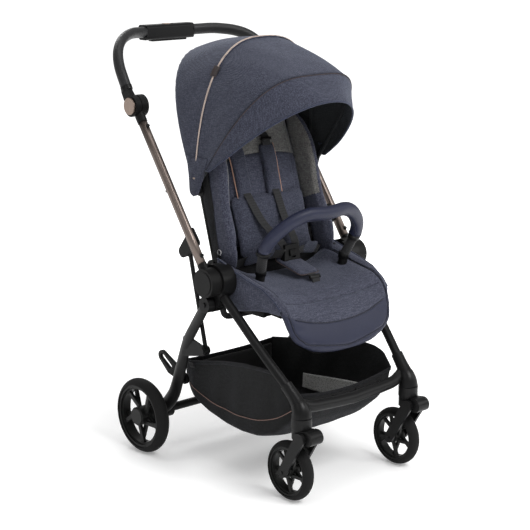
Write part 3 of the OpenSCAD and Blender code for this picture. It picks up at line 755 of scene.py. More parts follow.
def lerp_table(x, table):
    t = np.array(table, float)
    return np.array([np.interp(x, t[:, 0], t[:, i]) for i in range(1, t.shape[1])])


TILT = rad(16.2)


def B(x, h, zl):
    """Backrest frame: x across, h forward from the tubes' plane, zl up along them."""
    return (x, -0.014 - h * cos(TILT) + zl * sin(TILT), 0.532 + h * sin(TILT) + zl * cos(TILT))


def B_local(p):
    y, z = p[1] + 0.014, p[2] - 0.532
    return p[0], -y * cos(TILT) + z * sin(TILT), y * sin(TILT) + z * cos(TILT)


# ------------------------------------------------------------------ canopy

PIVOT = (0.036, 0.719)
# angle up from +Y, superellipse power, radius, inner offset, half width
BOWS = [(63.0, 3.0, 0.372, 0.0, 0.1965), (95.9, 2.72, 0.3737, 0.0, 0.1965),
        (128.25, 3.37, 0.3724, 0.0, 0.1976),
        (134.5, 2.62, 0.35, 0.018, 0.1976), (140.8, 2.07, 0.31865, 0.0474, 0.1976)]


def canopy_point(t, phi, lift=0.0, sag=0.0):
    n, R, off, W = lerp_table(phi, BOWS)
    s, c = abs(sin(t)), abs(cos(t))
    x = -W * math.copysign(c ** (2 / n), cos(t))
    r = off + R * s ** (2 / n)
    r -= sag * s ** 1.5
    f = rad(phi)
    # outward direction of the superellipse in its own plane
    nx, nr = math.copysign(c ** (2 - 2 / n) / W, -cos(t)) if c > 1e-6 else 0.0, s ** (2 - 2 / n) / R
    k = math.hypot(nx, nr)
    x, r = x + lift * nx / k, r + lift * nr / k
    return x, PIVOT[0] + r * cos(f), PIVOT[1] + r * sin(f)


T0 = rad(0.9)
NT = 141
T_ACROSS = np.linspace(T0, pi - T0, NT)


def wave(u, t, phi, near):
    """Puckers beside the seams and soft drape between them."""
    bell = 4 * u * (1 - u)
    pucker = near * 0.0007 * sin(t * 61) * sin(t) ** 2
    drape = 0.0011 * sin(t * 5 + phi * 0.09) * bell + 0.0006 * sin(t * 17 - phi * 0.21) * bell
    return pucker + drape


def canopy_panel(f0, f1, nf, sag):
    P = []
    for i in range(nf):
        u = i / (nf - 1)
        phi = f0 + (f1 - f0) * u
        row = []
        for t in T_ACROSS:
            bell = 4 * u * (1 - u)
            near = math.exp(-u * 9) + math.exp(-(1 - u) * 9)
            row.append(canopy_point(t, phi, lift=wave(u, t, phi, near), sag=sag * bell))
        P.append(row)
    return np.array(P)


def canopy_arc(phi, lift, t0=T0, t1=pi - T0, n=300):
    return np.array([canopy_point(t, phi, lift) for t in np.linspace(t0, t1, n)])


inside = (0, 0.0, 0.8)
rear_P = canopy_panel(66.0, 96.2, 22, 0.005)
canopy_rear = cloth("canopy_cover_rear", rear_P, inside, 0.0021, NAVY, LINING)
middle_P = canopy_panel(95.6, 128.25, 26, 0.0095)
canopy_middle = cloth("canopy_cover_middle", middle_P, inside, 0.0021, NAVY, LINING)
front_P = []
for i in range(20):
    u = i / 19
    phi = 128.25 + 12.55 * u
    n, R, off, W = lerp_table(phi, BOWS)
    # the lower corner is round: the cloth starts higher up towards the front edge
    start = 0.076 - 0.004 * (1 - u) + 0.08 * max(0.0, (u - 0.3) / 0.7) ** 3.0
    t0 = math.asin(max(0.001, (start - off) / R) ** (n / 2))
    row = []
    for k in np.linspace(0, 1, NT):
        t = t0 + (pi - 2 * t0) * k
        bell = 4 * u * (1 - u)
        row.append(canopy_point(t, phi, lift=wave(u, t, phi, math.exp(-u * 9)), sag=0.0008 * bell))
    front_P.append(row)
front_P = np.array(front_P)
canopy_front = cloth("canopy_cover_front", front_P, inside, 0.0024, NAVY, LINING)
for o, key, P in ((canopy_rear, "canopy_rear", rear_P), (canopy_middle, "canopy_middle", middle_P),
                  (canopy_front, "canopy_front", front_P)):
    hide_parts(key)
    as_sheet(o, P, "stretched")
ride(canopy_rear, "backrest")


def at_angle(phi, r=0.365):
    return (0, PIVOT[0] + r * cos(rad(phi)), PIVOT[1] + r * sin(rad(phi)))


at_angle(97)
at_angle(128)
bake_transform(canopy_middle)
at_angle(128.6)
at_angle(140.5, 0.34)
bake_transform(canopy_front)

# back of the canopy: cloth from its rear bow to the backrest's tube
# the backrest's tube from one side at canopy height, over the top, to the other
BACK_TUBE = resample([B(*q) for q in corner_path(
    [(-0.17, 0, 0.183), (-0.17, 0, 0.27), (-0.146, 0, 0.492), (0, 0, 0.498), (0.146, 0, 0.492),
     (0.17, 0, 0.27), (0.17, 0, 0.183)],
    0.09, 10)], 0.004)
back_P = []
for i in range(12):
    u = i / 11
    row = []
    for j, t in enumerate(T_ACROSS):
        a = np.array(canopy_point(t, 66.3, -0.0012))
        b = BACK_TUBE[int(round(j / (NT - 1) * (len(BACK_TUBE) - 1)))]
        bow = 0.01 * 4 * u * (1 - u)
        row.append(a * (1 - u) + b * u + np.array([0, bow, -bow * 0.5]) * sin(t))
    back_P.append(row)
canopy_back = cloth("canopy_back_panel", back_P, inside, 0.0018, NAVY, LINING)
as_sheet(canopy_back, back_P, "stretched")
ride(canopy_back, "backrest")

# zip: tape, two rows of coil teeth, stop and pull patch
ZIP = 95.9
tape = []
for dphi in (-0.95, -0.5, 0, 0.5, 0.95):
    tape.append([canopy_point(t, ZIP + dphi, 0.0013 - 0.0006 * abs(dphi)) for t in np.linspace(rad(1.7),
        pi - rad(1.7), 241)])
zip_tape = cloth("canopy_zip_tape", tape, inside, 0.0012, NAVY_PLAIN)
ride(zip_tape, "backrest")
arcs = [resample(canopy_arc(ZIP + d, 0.0026, rad(2.2), pi - rad(2.2), 900), 0.0015) for d in (-0.26, 0.26)]
verts, faces = [], []
for row, arc in enumerate(arcs):
    for i in range(1 + row, len(arc) - 2, 2):
        c, along = arc[i], arc[i + 1] - arc[i]
        along /= np.linalg.norm(along)
        out = np.array([c[0], c[1], c[2] - 0.78])
        out -= along * np.dot(out, along)
        out /= np.linalg.norm(out)
        side = np.cross(along, out)
        base = len(verts)
        for sa, sb, sc in ((-1, -1, -1), (1, -1, -1), (1, 1, -1), (-1, 1, -1), (-1, -1, 1), (1, -1, 1),
                           (1, 1, 1), (-1, 1, 1)):
            verts.append(c + along * sa * 0.00095 + side * sb * 0.0015 + out * (sc * 0.0007 - 0.0003))
        for f in ((0, 3, 2, 1), (4, 5, 6, 7), (0, 1, 5, 4), (1, 2, 6, 5), (2, 3, 7, 6), (3, 0, 4, 7)):
            faces.append(tuple(base + k for k in f))
zip_teeth = new_mesh("canopy_zip_teeth", verts, faces, [ZIP_COIL], smooth=False)
ride(zip_teeth, "backrest")
for name, sgn in (("right", 0), ("left", 1)):
    tt = rad(1.9) if sgn == 0 else pi - rad(1.9)
    c = np.array(canopy_point(tt, ZIP, 0.0035))
    d = np.array(canopy_point(tt + (0.008 if sgn == 0 else -0.008), ZIP, 0.0035)) - c
    stop = sweep("canopy_zip_stop_" + name, [c - d * 0.3, c, c + d * 0.35, c + d * 0.7],
                 oval(0.0045, 0.0022, 12, 3), [ROSE], (0, 1, 0),
                 scale=lambda t: 0.75 + 0.5 * sin(pi * t))
    ride(stop, "backrest")
tp = rad(46.5)
patch_P = [[canopy_point(tp + dt, ZIP + dp, 0.0042) for dt in np.linspace(-0.058, 0.058, 13)]
           for dp in np.linspace(-2.2, 2.2, 9)]
patch = cloth("canopy_zip_patch", patch_P, inside, 0.0016, PATCH_LEATHER)
modify(patch, "BEVEL", width=0.0005, segments=2)
ride(patch, "backrest")
edge_loop = []
for k in np.linspace(0, 1, 60, endpoint=False):
    a = 2 * pi * k
    edge_loop.append(canopy_point(tp + 0.051 * signed_power(cos(a), 0.4),
                                  ZIP + 1.9 * signed_power(sin(a), 0.4), 0.0045))
patch_stitch = stitches("canopy_patch_stitching", edge_loop, THREAD, 0.003, 0.002, 0.00025)
ride(patch_stitch, "backrest")
# front seam: piping with a stitched line on one side and a thin dark cord on the other
seam_pipe = thread_tube("canopy_seam_piping", canopy_arc(128.25, 0.0006), 0.0014, NAVY_THREAD, 0.004)
ride(seam_pipe, "canopy_bow_middle")
top_stitch = stitches("canopy_seam_stitching", canopy_arc(127.45, 0.0006), THREAD, 0.0042, 0.0028, 0.00028)
at_angle(97)
at_angle(128)
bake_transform(top_stitch)
rose_trim = thread_tube("canopy_seam_trim", canopy_arc(128.62, 0.0009), 0.0006, PIPING_DARK, 0.004)
ride(rose_trim, "canopy_bow_middle")
# binding round the visor's edge
rim_line = np.vstack([front_P[1:, 0], front_P[-1, 1:-1], front_P[:0:-1, -1]])
binding = sweep("canopy_edge_binding", resample(smooth_path(resample(rim_line, 0.012), 3), 0.005),
                oval(0.0026, 0.0024, 12), [NAVY_PLAIN], (0, -0.7, -0.7))
ride(binding, "canopy_bow_front")
# bows in sleeves inside the cover
for name, phi, body in (("rear", 67.5, "backrest"), ("zip", 96.0, "backrest"),
                        ("middle", 127.6, "canopy_bow_middle")):
    bow = sweep("canopy_bow_" + name + "_sleeve", resample(canopy_arc(phi, -0.0052), 0.006),
                oval(0.0048, 0.003, 12), [LINING], (0, 1, 0.2))
    ride(bow, body)
# rounded side tabs that close the cover over its pivots
for name, sgn in RIGHT_LEFT:
    tab_P = []
    for i in range(25):
        v = i / 24
        row = []
        for j in range(25):
            w = 2 * j / 24 - 1
            # teardrop: wide under the fan, round at the bottom, leaning with it
            up = -0.015 + 0.1 * v
            half = 0.0165 * min(1.0, (1 - (1 - min(1, v / 0.2)) ** 2.2)) ** 0.5 + 0.024 * v
            mid = -0.012 * v
            dome = 0.0072 * (1 - w ** 4) * min(1,
                                               0.35 + v / 0.12) * (1 - v) ** 0.9 + 0.0008 * sin(w * 7 + v * 9) * v
            row.append((sgn * (0.1972 + dome + 0.0012 * (1 - v)), PIVOT[0] + mid + half * w, PIVOT[1] + up))
        tab_P.append(row)
    tab = cloth("canopy_side_tab_" + name, tab_P, (0, 0.036, 0.74), 0.0022, NAVY)
    as_sheet(tab, tab_P, "stretched")
    ride(tab, "backrest")

# ------------------------------------------------------------------ backrest cushions

PAD_TOP, SEAM = 0.455, 0.262
BACK_FRONT = (0, -0.96, 0.28)
back = pad("back_pad", rounded([(-0.143, 0.026), (0.143, 0.026), (0.147, 0.25), (0.13, 0.4),
                                (0.095, PAD_TOP), (-0.095, PAD_TOP), (-0.13, 0.4),
                                (-0.147, 0.25)], 0.035), 0.017, 0.003, lambda a, b, h: B(a, 0.016 + h, b),
                                [NAVY_SEAT], rings=12, edge=4.0, crown=2.4, centre=(0, 0.24))
puff(back, cap=0.006, pressure=3.0, voxel=0.0055)


def seam_height(x):
    return SEAM - 0.9 * x * x


channel(back, [[B(x, 0.04, seam_height(x)) for x in np.linspace(-0.15, 0.15, 40)]], 0.0035, 0.0035,
        facing=BACK_FRONT)
channel(back, [[B(s * 0.112, 0.036, z) for z in np.linspace(0.04, 0.43, 50)] for s in (-1, 1)], 0.003,
        0.004, facing=BACK_FRONT)
paint(back, [NAVY_SEAT, GREY, BLACK_CLOTH], lambda c, n: 2 if B_local(c)[1] < 0.014
      else (1 if B_local(c)[2] > seam_height(c[0]) else 0))
tree = surface(back)
thread = thread_tube("back_pad_seam", lay_on(tree,
                                             [B(x, 0.06, seam_height(x)) for x in np.linspace(-0.142, 0.142,
                                                 60)], 0.0002, 0.005, (0, 0.96, -0.28)), 0.001, NAVY_THREAD)
ride(thread, "backrest")
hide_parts("back_cushion")
ride(back, "backrest")

# waist pad with sewn vertical channels
waist = pad("waist_pad", rounded([(-0.124, -0.006), (0.124, -0.006), (0.126, 0.162), (-0.126, 0.162)],
                                 0.024), 0.011, 0.004,
            lambda a, b, h: B(a, 0.04 + h, b), [NAVY], rings=10, edge=5, crown=2.6)
puff(waist, cap=0.004, pressure=2.5, voxel=0.0045)
channel(waist, [[B(x, 0.06, z) for z in np.linspace(0.004, 0.154, 40)] for x in np.linspace(-0.11, 0.11,
    14)], 0.0024, 0.0026, facing=BACK_FRONT)
ride(waist, "backrest")

# cloth gusset that closes the gap between the seat and the backrest; its near-black cloth is also painted shade for
# the dark gap there
gusset = []
for k in np.linspace(0, 1, 16):
    row = []
    for x in np.linspace(-0.166, 0.166, 41):
        a, b = np.array((x, -0.046, 0.49)), np.array(B(x, 0.02, 0.052))
        c = a * (1 - k) + b * k + np.array([0, 0.014, -0.004]) * 4 * k * (1 - k)
        row.append(c + np.array([0, 0.0012 * sin(x * 120) * sin(pi * k), 0]))
    gusset.append(row)
o = cloth("seat_gusset", gusset, (0, -0.3, 0.7), 0.002, BLACK_CLOTH)
as_sheet(o, gusset, "hung")
tuple(B(0, 0.02, 0.052))
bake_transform(o)

# side wings: navy outside and low down, grey inside above
WING = [(-0.03, 0.028), (-0.026, 0.058), (-0.008, 0.077), (0.04, 0.09), (0.09, 0.088), (0.135, 0.084),
        (0.19, 0.089), (0.243, 0.094), (0.3, 0.084),
        (0.345, 0.06), (0.362, 0.03)]
for name, sgn in RIGHT_LEFT:
    def wing_x(zl):
        return lerp_table(zl, [(-0.03, 0.1655), (0.04, 0.168), (0.14, 0.16), (0.243, 0.153),
                               (0.36, 0.15)])[0]

    outline = np.array([(h, z) for z, h in WING] + [(0.004, 0.35), (-0.002, 0.2), (0.0, 0.06),
                                                    (0.01, -0.024)])
    ring = smooth_path([(a, b, 0) for a, b in outline], 5, closed=True)[:, :2]
    wing = pad("side_wing_" + name, ring, 0.0115, 0.0075, lambda a, b, h,
               s=sgn: (s * (wing_x(b) - h), *B(0, a, b)[1:]), [NAVY],
               rings=9, edge=4.5, crown=2.4, centre=(0.045, 0.16))
    if sgn > 0:
        wing.data.flip_normals()
    puff(wing, cap=0.005, pressure=3.0, voxel=0.005)
    channel(wing, [[(sgn * (wing_x(0.133) - 0.012), *B(0, h, 0.133 + 0.25 * (h - 0.05) * 0.3)[1:])
                    for h in np.linspace(0.0, 0.1, 20)]], 0.003, 0.0032)
    channel(wing, [[(sgn * (wing_x(z) + 0.007), *B(0, 0.034, z)[1:]) for z in np.linspace(-0.02, 0.33,
        50)]], 0.0025, 0.003)

    def shade(c, n, s=sgn):
        x, h, zl = B_local(c)
        if abs(x) > wing_x(zl) + 0.0015:
            return 2 if h < 0.034 else 0
        if abs(x) > wing_x(zl) - 0.0065:
            return 0
        return 1 if zl > 0.133 + 0.08 * (h - 0.05) else 0

    paint(wing, [NAVY_SEAT, GREY, BLACK_CLOTH], shade)
    ride(wing, "backrest")
    tree = surface(wing)
    seam = [(sgn * 0.2, *B(0, 0.034, z)[1:]) for z in np.linspace(-0.015, 0.33, 60)]
    ride(thread_tube("side_wing_seam_" + name, lay_on(tree, seam, 0.0003, 0.005, (-sgn, 0, 0)), 0.0009,
                     NAVY_THREAD), "backrest")
    # cloth side strip from the wing back to the tube
    strip = []
    for z in np.linspace(-0.005, 0.24, 30):
        strip.append([(sgn * (0.1735 + 0.0045 * sin(pi * k / 8)), *B(0, -0.004 + 0.04 * k / 8, z)[1:])
                      for k in range(9)])
    o = cloth("side_strip_" + name, strip, (0, 0, 0.6), 0.002, BLACK_CLOTH)
    as_sheet(o, strip, "stretched")
    ride(o, "backrest")
    # eyelet ring
    c = np.array((sgn * 0.1815, *B(0, 0.036, 0.03)[1:]))
    ring = thread_tube("side_eyelet_" + name,
                       [c + np.array([0.0, cos(t), sin(t)]) * 0.0068 for t in np.linspace(0, 2 * pi, 40)],
                       0.0014, STEEL, 0.0015, closed=True)
    ride(ring, "backrest")

# ------------------------------------------------------------------ harness

def ribbon(name, path, width, thick, mat, across):
    path = resample(path, 0.006)
    return sweep(name, path, oval(width / 2, thick / 2, 20, 7), [mat], across)


for name, sgn in RIGHT_LEFT:
    slab = pad("shoulder_pad_" + name, rounded([(-0.024, 0.152), (0.024, 0.152), (0.025, 0.284),
                                                (-0.025, 0.284)], 0.007, 4), 0.0075, 0.006,
               lambda a, b, h, s=sgn: B(s * 0.05 - 0.024 + a + s * 0.002 * (b - 0.2) / 0.1,
                                        0.0455 + h - 0.1 * max(0, b - 0.24), b), [NAVY], rings=7, edge=7,
                                        crown=3)
    puff(slab, cap=0.003, pressure=2.5, voxel=0.0038)
    if sgn < 0:
        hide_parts("shoulder_harness")
    ride(slab, "backrest")
    edge = [B(sgn * (0.05 + 0.0258 + 0.002 * (z - 0.2) / 0.1) - 0.024, 0.0465 - 0.1 * max(0, z - 0.24), z)
            for z in np.linspace(0.154, 0.283, 30)]
    ride(thread_tube("shoulder_piping_" + name, np.array(edge), 0.0013, PIPING, 0.004), "backrest")
    over = [B(sgn * 0.051 - 0.024, 0.041, 0.262), B(sgn * 0.051 - 0.024, 0.0485, 0.286),
            B(sgn * 0.051 - 0.024, 0.046, 0.302), B(sgn * 0.05 - 0.024, 0.035, 0.318)]
    strap_up = ribbon("shoulder_strap_" + name, smooth_path(over, 8), 0.026, 0.0022, WEBBING, (1, 0, 0))
    ride(strap_up, "backrest")
    loop = sweep("shoulder_adjuster_" + name,
                 [B(sgn * 0.051 - 0.024 + d, 0.05, 0.294) for d in (-0.016, -0.008, 0, 0.008, 0.016)],
                 oval(0.0045, 0.003, 12, 3), [PLASTIC], (0, 0.3, 1))
    ride(loop, "backrest")
    down = [np.array(B(sgn * 0.049 - 0.024, 0.049, 0.172)), np.array(B(sgn * 0.047 - 0.022, 0.056, 0.148)),
            np.array(B(sgn * 0.038 - 0.012, 0.067, 0.085)),
            np.array((sgn * 0.024, -0.092, 0.585)), np.array((sgn * 0.017, -0.103, 0.566))]
    strap = ribbon("harness_strap_" + name, smooth_path(down, 10), 0.024, 0.002, WEBBING, (1, 0, 0))
    tuple(B(0, 0.066, 0.1))
    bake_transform(strap)
    lap = [(sgn * 0.15, -0.048, 0.532), (sgn * 0.12, -0.062, 0.541), (sgn * 0.075, -0.085, 0.553),
           (sgn * 0.04, -0.1, 0.556), (sgn * 0.022, -0.105, 0.555)]
    belt = ribbon("lap_strap_" + name, smooth_path(lap, 10), 0.024, 0.002, WEBBING, (0, -0.45, 1))
    ride(belt, "seat")
    hip = pad("lap_pad_" + name, rounded([(-0.036, -0.019), (0.036, -0.019), (0.036, 0.019),
                                          (-0.036, 0.019)], 0.008, 4), 0.006, 0.004,
              lambda a, b, h, s=sgn: (s * (0.086 + a), -0.0835 + 0.4 * a - h * 0.75 - b * 0.45,
                                      0.5525 - 0.22 * a + h * 0.62 + b * 0.85), [NAVY], rings=6, edge=6,
                                      crown=3)
    if sgn < 0:
        hip.data.flip_normals()
    subdivide(hip, 1)
    ride(hip, "seat")

# ------------------------------------------------------------------ seat pad and legrest: one upholstered run

# share along the run: y, z, half width, rise of its sides, thickness
RUN = [(0.0, -0.04, 0.5, 0.175, 0.05, 0.026), (0.12, -0.085, 0.498, 0.1785, 0.044, 0.027),
       (0.28, -0.14, 0.497, 0.18, 0.029, 0.028),
       (0.42, -0.188, 0.493, 0.182, 0.021, 0.029), (0.54, -0.226, 0.483, 0.185, 0.023, 0.03),
       (0.63, -0.254, 0.466, 0.1845, 0.021, 0.029),
       (0.72, -0.276, 0.442, 0.181, 0.012, 0.027), (0.81, -0.293, 0.414, 0.1745, 0.004, 0.024),
       (0.9, -0.307, 0.384, 0.163, 0.0, 0.022),
       (1.0, -0.3185, 0.347, 0.146, 0.0, 0.02)]
RUN_CURVE = smooth_path([np.array(r[1:]) for r in RUN], 10)


def run_at(u):
    k = u * (len(RUN_CURVE) - 1)
    i = min(int(k), len(RUN_CURVE) - 2)
    return RUN_CURVE[i] * (1 - (k - i)) + RUN_CURVE[i + 1] * (k - i)


def run_point(u, v, depth=0.0):
    """Point on the upholstery: u from the back of the seat to the legrest's end, v from right (-1) to left (1)."""
    y, z, w, rise = run_at(u)[:4]
    a, b = run_at(max(0, u - 0.01)), run_at(min(1, u + 0.01))
    ty, tz = b[0] - a[0], b[1] - a[1]
    k = math.hypot(ty, tz)
    ny, nz = tz / k, -ty / k
    if nz < 0 and u < 0.4:
        ny, nz = -ny, -nz
    if u >= 0.4 and ny > 0:
        ny, nz = -ny, -nz
    side = abs(v) ** 3.2
    crown = 0.0035 * (1 - abs(v) ** 2.4) * (1 if u > 0.5 else 0.4)
    h = rise * side + crown - depth
    return np.array((w * v, y + ny * h, z + nz * h))


def end_width(u):
    """The legrest's lower end is rounded."""
    if u < 0.8:
        return 1.0
    t = (u - 0.8) / 0.2
    return max(0.0, 1 - t ** 2.6) ** (1 / 2.6)


NU, NV = 96, 60
top, low = [], []
for i in range(NU):
    u = i / (NU - 1)
    u = u if u < 0.75 else 0.75 + 0.2499 * (1 - (1 - (u - 0.75) / 0.25) ** 1.5)
    top_row, low_row = [], []
    for j in range(NV):
        v = sin(0.5 * pi * (2 * j / (NV - 1) - 1))
        e = end_width(u)
        thick = run_at(u)[4]
        roll = (1 - abs(v) ** 9) ** (1 / 2.4)
        close = min(1.0, (1 - u) / 0.035 + 0.02, u / 0.02 + 0.05) ** 0.5
        top_row.append(run_point(u, v * e, (1 - roll * close) * thick * 0.42))
        low_row.append(run_point(u, v * e, thick - (1 - roll * close) * thick * 0.42))
    top.append(top_row)
    low.append(low_row)
top, low = np.array(top), np.array(low)
verts = np.vstack([top.reshape(-1, 3), low.reshape(-1, 3)])
faces = []
A = lambda i, j: i * NV + j
C = lambda i, j: NU * NV + i * NV + j
for i in range(NU - 1):
    for j in range(NV - 1):
        faces += [(A(i, j), A(i, j + 1), A(i + 1, j + 1), A(i + 1, j)),
                  (C(i, j), C(i + 1, j), C(i + 1, j + 1), C(i, j + 1))]
    faces += [(A(i, 0), A(i + 1, 0), C(i + 1, 0), C(i, 0)),
              (A(i, NV - 1), C(i, NV - 1), C(i + 1, NV - 1), A(i + 1, NV - 1))]
for j in range(NV - 1):
    faces += [(A(0, j), C(0, j), C(0, j + 1), A(0, j + 1)),
              (A(NU - 1, j), A(NU - 1, j + 1), C(NU - 1, j + 1), C(NU - 1, j))]
run = new_mesh("seat_and_leg_pad", verts, faces, [NAVY_SEAT])
puff(run, cap=0.0035, pressure=2.5, voxel=0.0055)


def leather_edge(x):
    """Height of the leatherette's upper seam."""
    return 0.4165 + 0.03 * (abs(x) / 0.16) ** 2.4


def over_knee(o):
    """Bakes the transform of a piece that lies across the joint between the seat and the legrest into its mesh."""
    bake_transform(o)


def find_u(x, z, lo=0.45, hi=0.98):
    v = min(1.0, abs(x) / 0.165)
    for _ in range(30):
        mid = 0.5 * (lo + hi)
        if run_point(mid, v)[2] > z:
            lo = mid
        else:
            hi = mid
    return lo


def leather_point(x):
    u = find_u(x, leather_edge(x))
    return run_point(u, x / run_at(u)[2])


leather_line = [leather_point(x) for x in np.linspace(-0.15, 0.15, 60)]
knee_line = [run_point(0.545 + 0.02 * (1 - (x / 0.16) ** 2), x / 0.1765) for x in np.linspace(-0.15, 0.15,
    60)]
knee_b = [run_point(0.44 + 0.035 * (1 - (x / 0.16) ** 2), x / 0.179) for x in np.linspace(-0.156, 0.156,
    60)]
inset = []
for k in np.linspace(0.02, 1, 90):
    inset.append((k * 0.905, -0.925))
for a in np.linspace(0, 1, 60):
    inset.append((0.905 + 0.062 * sin(pi * a) ** 0.8, -0.925 + 1.85 * a))
for k in np.linspace(1, 0.02, 90):
    inset.append((k * 0.905, 0.925))
border_line = np.array([run_point(u, v * (end_width(min(u + 0.03, 1.0)) if u > 0.78 else 1.0)) for u,
                        v in inset])
border_line = smooth_path(border_line[::6], 6)
channel(run, [leather_line], 0.003, 0.0032, facing=(0, -0.8, 0.6))
channel(run, [border_line], 0.0028, 0.003)
channel(run, [knee_line, knee_b], 0.0036, 0.0034, facing=(0, -0.5, 0.85))
paint(run, [NAVY_SEAT, NAVY_LEATHER, BLACK_CLOTH],
      lambda c, n: 1 if c[2] < leather_edge(c[0]) and n[1] < 0.35 and c[1] < -0.262
      else (2 if n[2] < -0.55 and c[1] > -0.25 else 0))
tree = surface(run)
for name, line, r, mat in (("leather_seam", leather_line, 0.0014, NAVY_THREAD),
                           ("border_piping", border_line, 0.0015, NAVY_THREAD)):
    path = lay_on(tree, line, 0.0005, 0.004)
    over_knee(thread_tube("seat_" + name, path, r, mat, 0.004))
path = lay_on(tree, knee_line, 0.0002, 0.004)
over_knee(stitches("seat_knee_stitching", path, THREAD, 0.0045, 0.003, 0.00032))
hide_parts("seat_cushion", "legrest_pad")
over_knee(run)

# side skirts, from the rim of the seat down past its brackets
for name, sgn in RIGHT_LEFT:
    P = []
    for i in range(40):
        k = i / 39
        y = -0.046 - 0.222 * k
        top_z = lerp_table(-y, [(0.046, 0.5585), (0.06, 0.552), (0.128, 0.531), (0.209, 0.509),
                                (0.25, 0.4845), (0.268, 0.466)])[0]
        low_z = lerp_table(-y, [(0.046, 0.468), (0.07, 0.447), (0.12, 0.441), (0.17, 0.447), (0.227, 0.456),
                                (0.252, 0.455), (0.268, 0.453)])[0]
        out = lerp_table(-y, [(0.046, 0.1945), (0.15, 0.195), (0.172, 0.194), (0.209, 0.191), (0.25, 0.188),
                              (0.268, 0.186)])[0]
        row = []
        for j in range(22):
            v = j / 21
            z = top_z * (1 - v) + low_z * v
            lean = 0.0016 * (1 - v) ** 2 + 0.003 * v ** 3 - 0.001 * sin(pi * v)
            ripple = 0.0008 * sin(y * 75 + v * 3) * sin(pi * v) + 0.0004 * sin(y * 160 - v * 7) * v
            row.append((sgn * (out - lean + ripple * 0.6), y, z + 0.0015 * sin(y * 60) * v))
        P.append(row)
    o = cloth("seat_skirt_" + name, P, (0, -0.15, 0.5), 0.003, NAVY_SEAT, BLACK_CLOTH)
    as_sheet(o, P, "hung")
    ride(o, "seat")
    rim_path = [(p[0][0], p[0][1], p[0][2]) for p in P]
    pipe = thread_tube("seat_rim_piping_" + name, np.array(rim_path), 0.0022, NAVY_PLAIN, 0.004)
    ride(pipe, "seat")
    # rolled facing between the skirt's rim and the seat pad
    roll = []
    for i in range(40):
        k = i / 39
        p = np.array(P[i][0])
        u = min(0.66, 0.66 * k + 0.005)
        q = run_point(u, sgn * 0.94)
        roll.append([p + (q - p) * t + np.array([0, 0, 0.0035 * sin(pi * t)]) for t in np.linspace(0, 1,
            10)])
    o = cloth("seat_rim_facing_" + name, roll, (0, -0.15, 0.3), 0.0025, NAVY_SEAT)
    as_sheet(o, roll, "stretched")
    ride(o, "seat")

# crotch pad with light piping, its strap and adjuster
crotch = pad("crotch_pad", rounded([(-0.033, 0.0), (0.033, 0.0), (0.036, 0.09), (0.026, 0.104),
                                    (-0.026, 0.104), (-0.036, 0.09)], 0.01, 4), 0.0065, 0.0045,
             lambda a, b, h: (a, -0.177 + b * 0.97 - h * 0.24, 0.5125 + b * 0.245 + h * 0.97), [NAVY_SEAT],
             rings=8, edge=6, crown=3)
puff(crotch, cap=0.0025, pressure=2.5, voxel=0.0036)
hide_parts("crotch_strap")
ride(crotch, "seat")
loop = [(a, -0.177 + b * 0.97, 0.513 + b * 0.245) for a,
        b in rounded([(-0.0335, -0.001), (0.0335, -0.001), (0.037, 0.09), (0.0265, 0.105), (-0.0265, 0.105),
                      (-0.037, 0.09)], 0.01, 4)]
ride(thread_tube("crotch_pad_piping", np.array(loop), 0.001, PIPING_DARK, 0.003, closed=True), "seat")
strap = ribbon("crotch_webbing", smooth_path([(0, -0.2, 0.49), (0, -0.198, 0.503), (0, -0.19, 0.5095),
                                              (0, -0.173, 0.513)], 8), 0.025, 0.0022, WEBBING, (1, 0, 0))
ride(strap, "seat")
tab = sweep("crotch_adjuster", [(x, -0.1935, 0.5085) for x in (-0.017, -0.01, 0, 0.01, 0.017)],
            oval(0.0055, 0.0028, 12, 3), [PLASTIC_SATIN], (0, 0.5, 0.85))
ride(tab, "seat")

# seat release levers: soft loops behind the brackets
for name, sgn in RIGHT_LEFT:
    lever = pad("seat_lever_loop_" + name,
                rounded([(-0.008, -0.016), (0.008, -0.016), (0.007, 0.016), (-0.007, 0.016)], 0.005, 4),
                0.0035, 0.0035,
                lambda a, b, h, s=sgn: (s * (0.1875 + h), -0.033 + a * 0.92 + b * 0.35,
                                        0.559 - a * 0.35 + b * 0.92), [BLACK_CLOTH], rings=6, edge=6,
                                        crown=3)
    if sgn < 0:
        lever.data.flip_normals()
    subdivide(lever, 1)
    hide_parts("seat_lever_" + name)
    ride(lever, "seat_release_" + name)

# ------------------------------------------------------------------ bumper bar

BAR = [(-0.142, -0.1511, 0.5339), (-0.164, -0.188, 0.616), (-0.081, -0.232, 0.683), (0, -0.24, 0.675)]
bar = corner_path(BAR + [(-x, y, z) for x, y, z in BAR[-2::-1]], 0.055, 14)
bar = resample(bar, 0.004)
upper = bar[bar[:, 2] > 0.584]
cover = sweep("bumper_cover", upper, oval(0.0176, 0.0146, 30, 2.15), [NAVY_LEATHER], (0, -0.5, 1))
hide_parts("bumper_bar")
ride(cover, "bumper")
tree = surface(cover)
under = lay_on(tree, upper + np.array([0, 0.006, -0.03]), 0.0003, 0.004)
ride(thread_tube("bumper_seam", under, 0.0008, NAVY_THREAD), "bumper")
for off in (-0.004, 0.004):
    line = lay_on(tree, upper + np.array([0, 0.006 + off, -0.03 + off * 0.5]), 0.0002, 0.004)
    ride(stitches("bumper_stitching_" + ("a" if off < 0 else "b"), line, THREAD), "bumper")
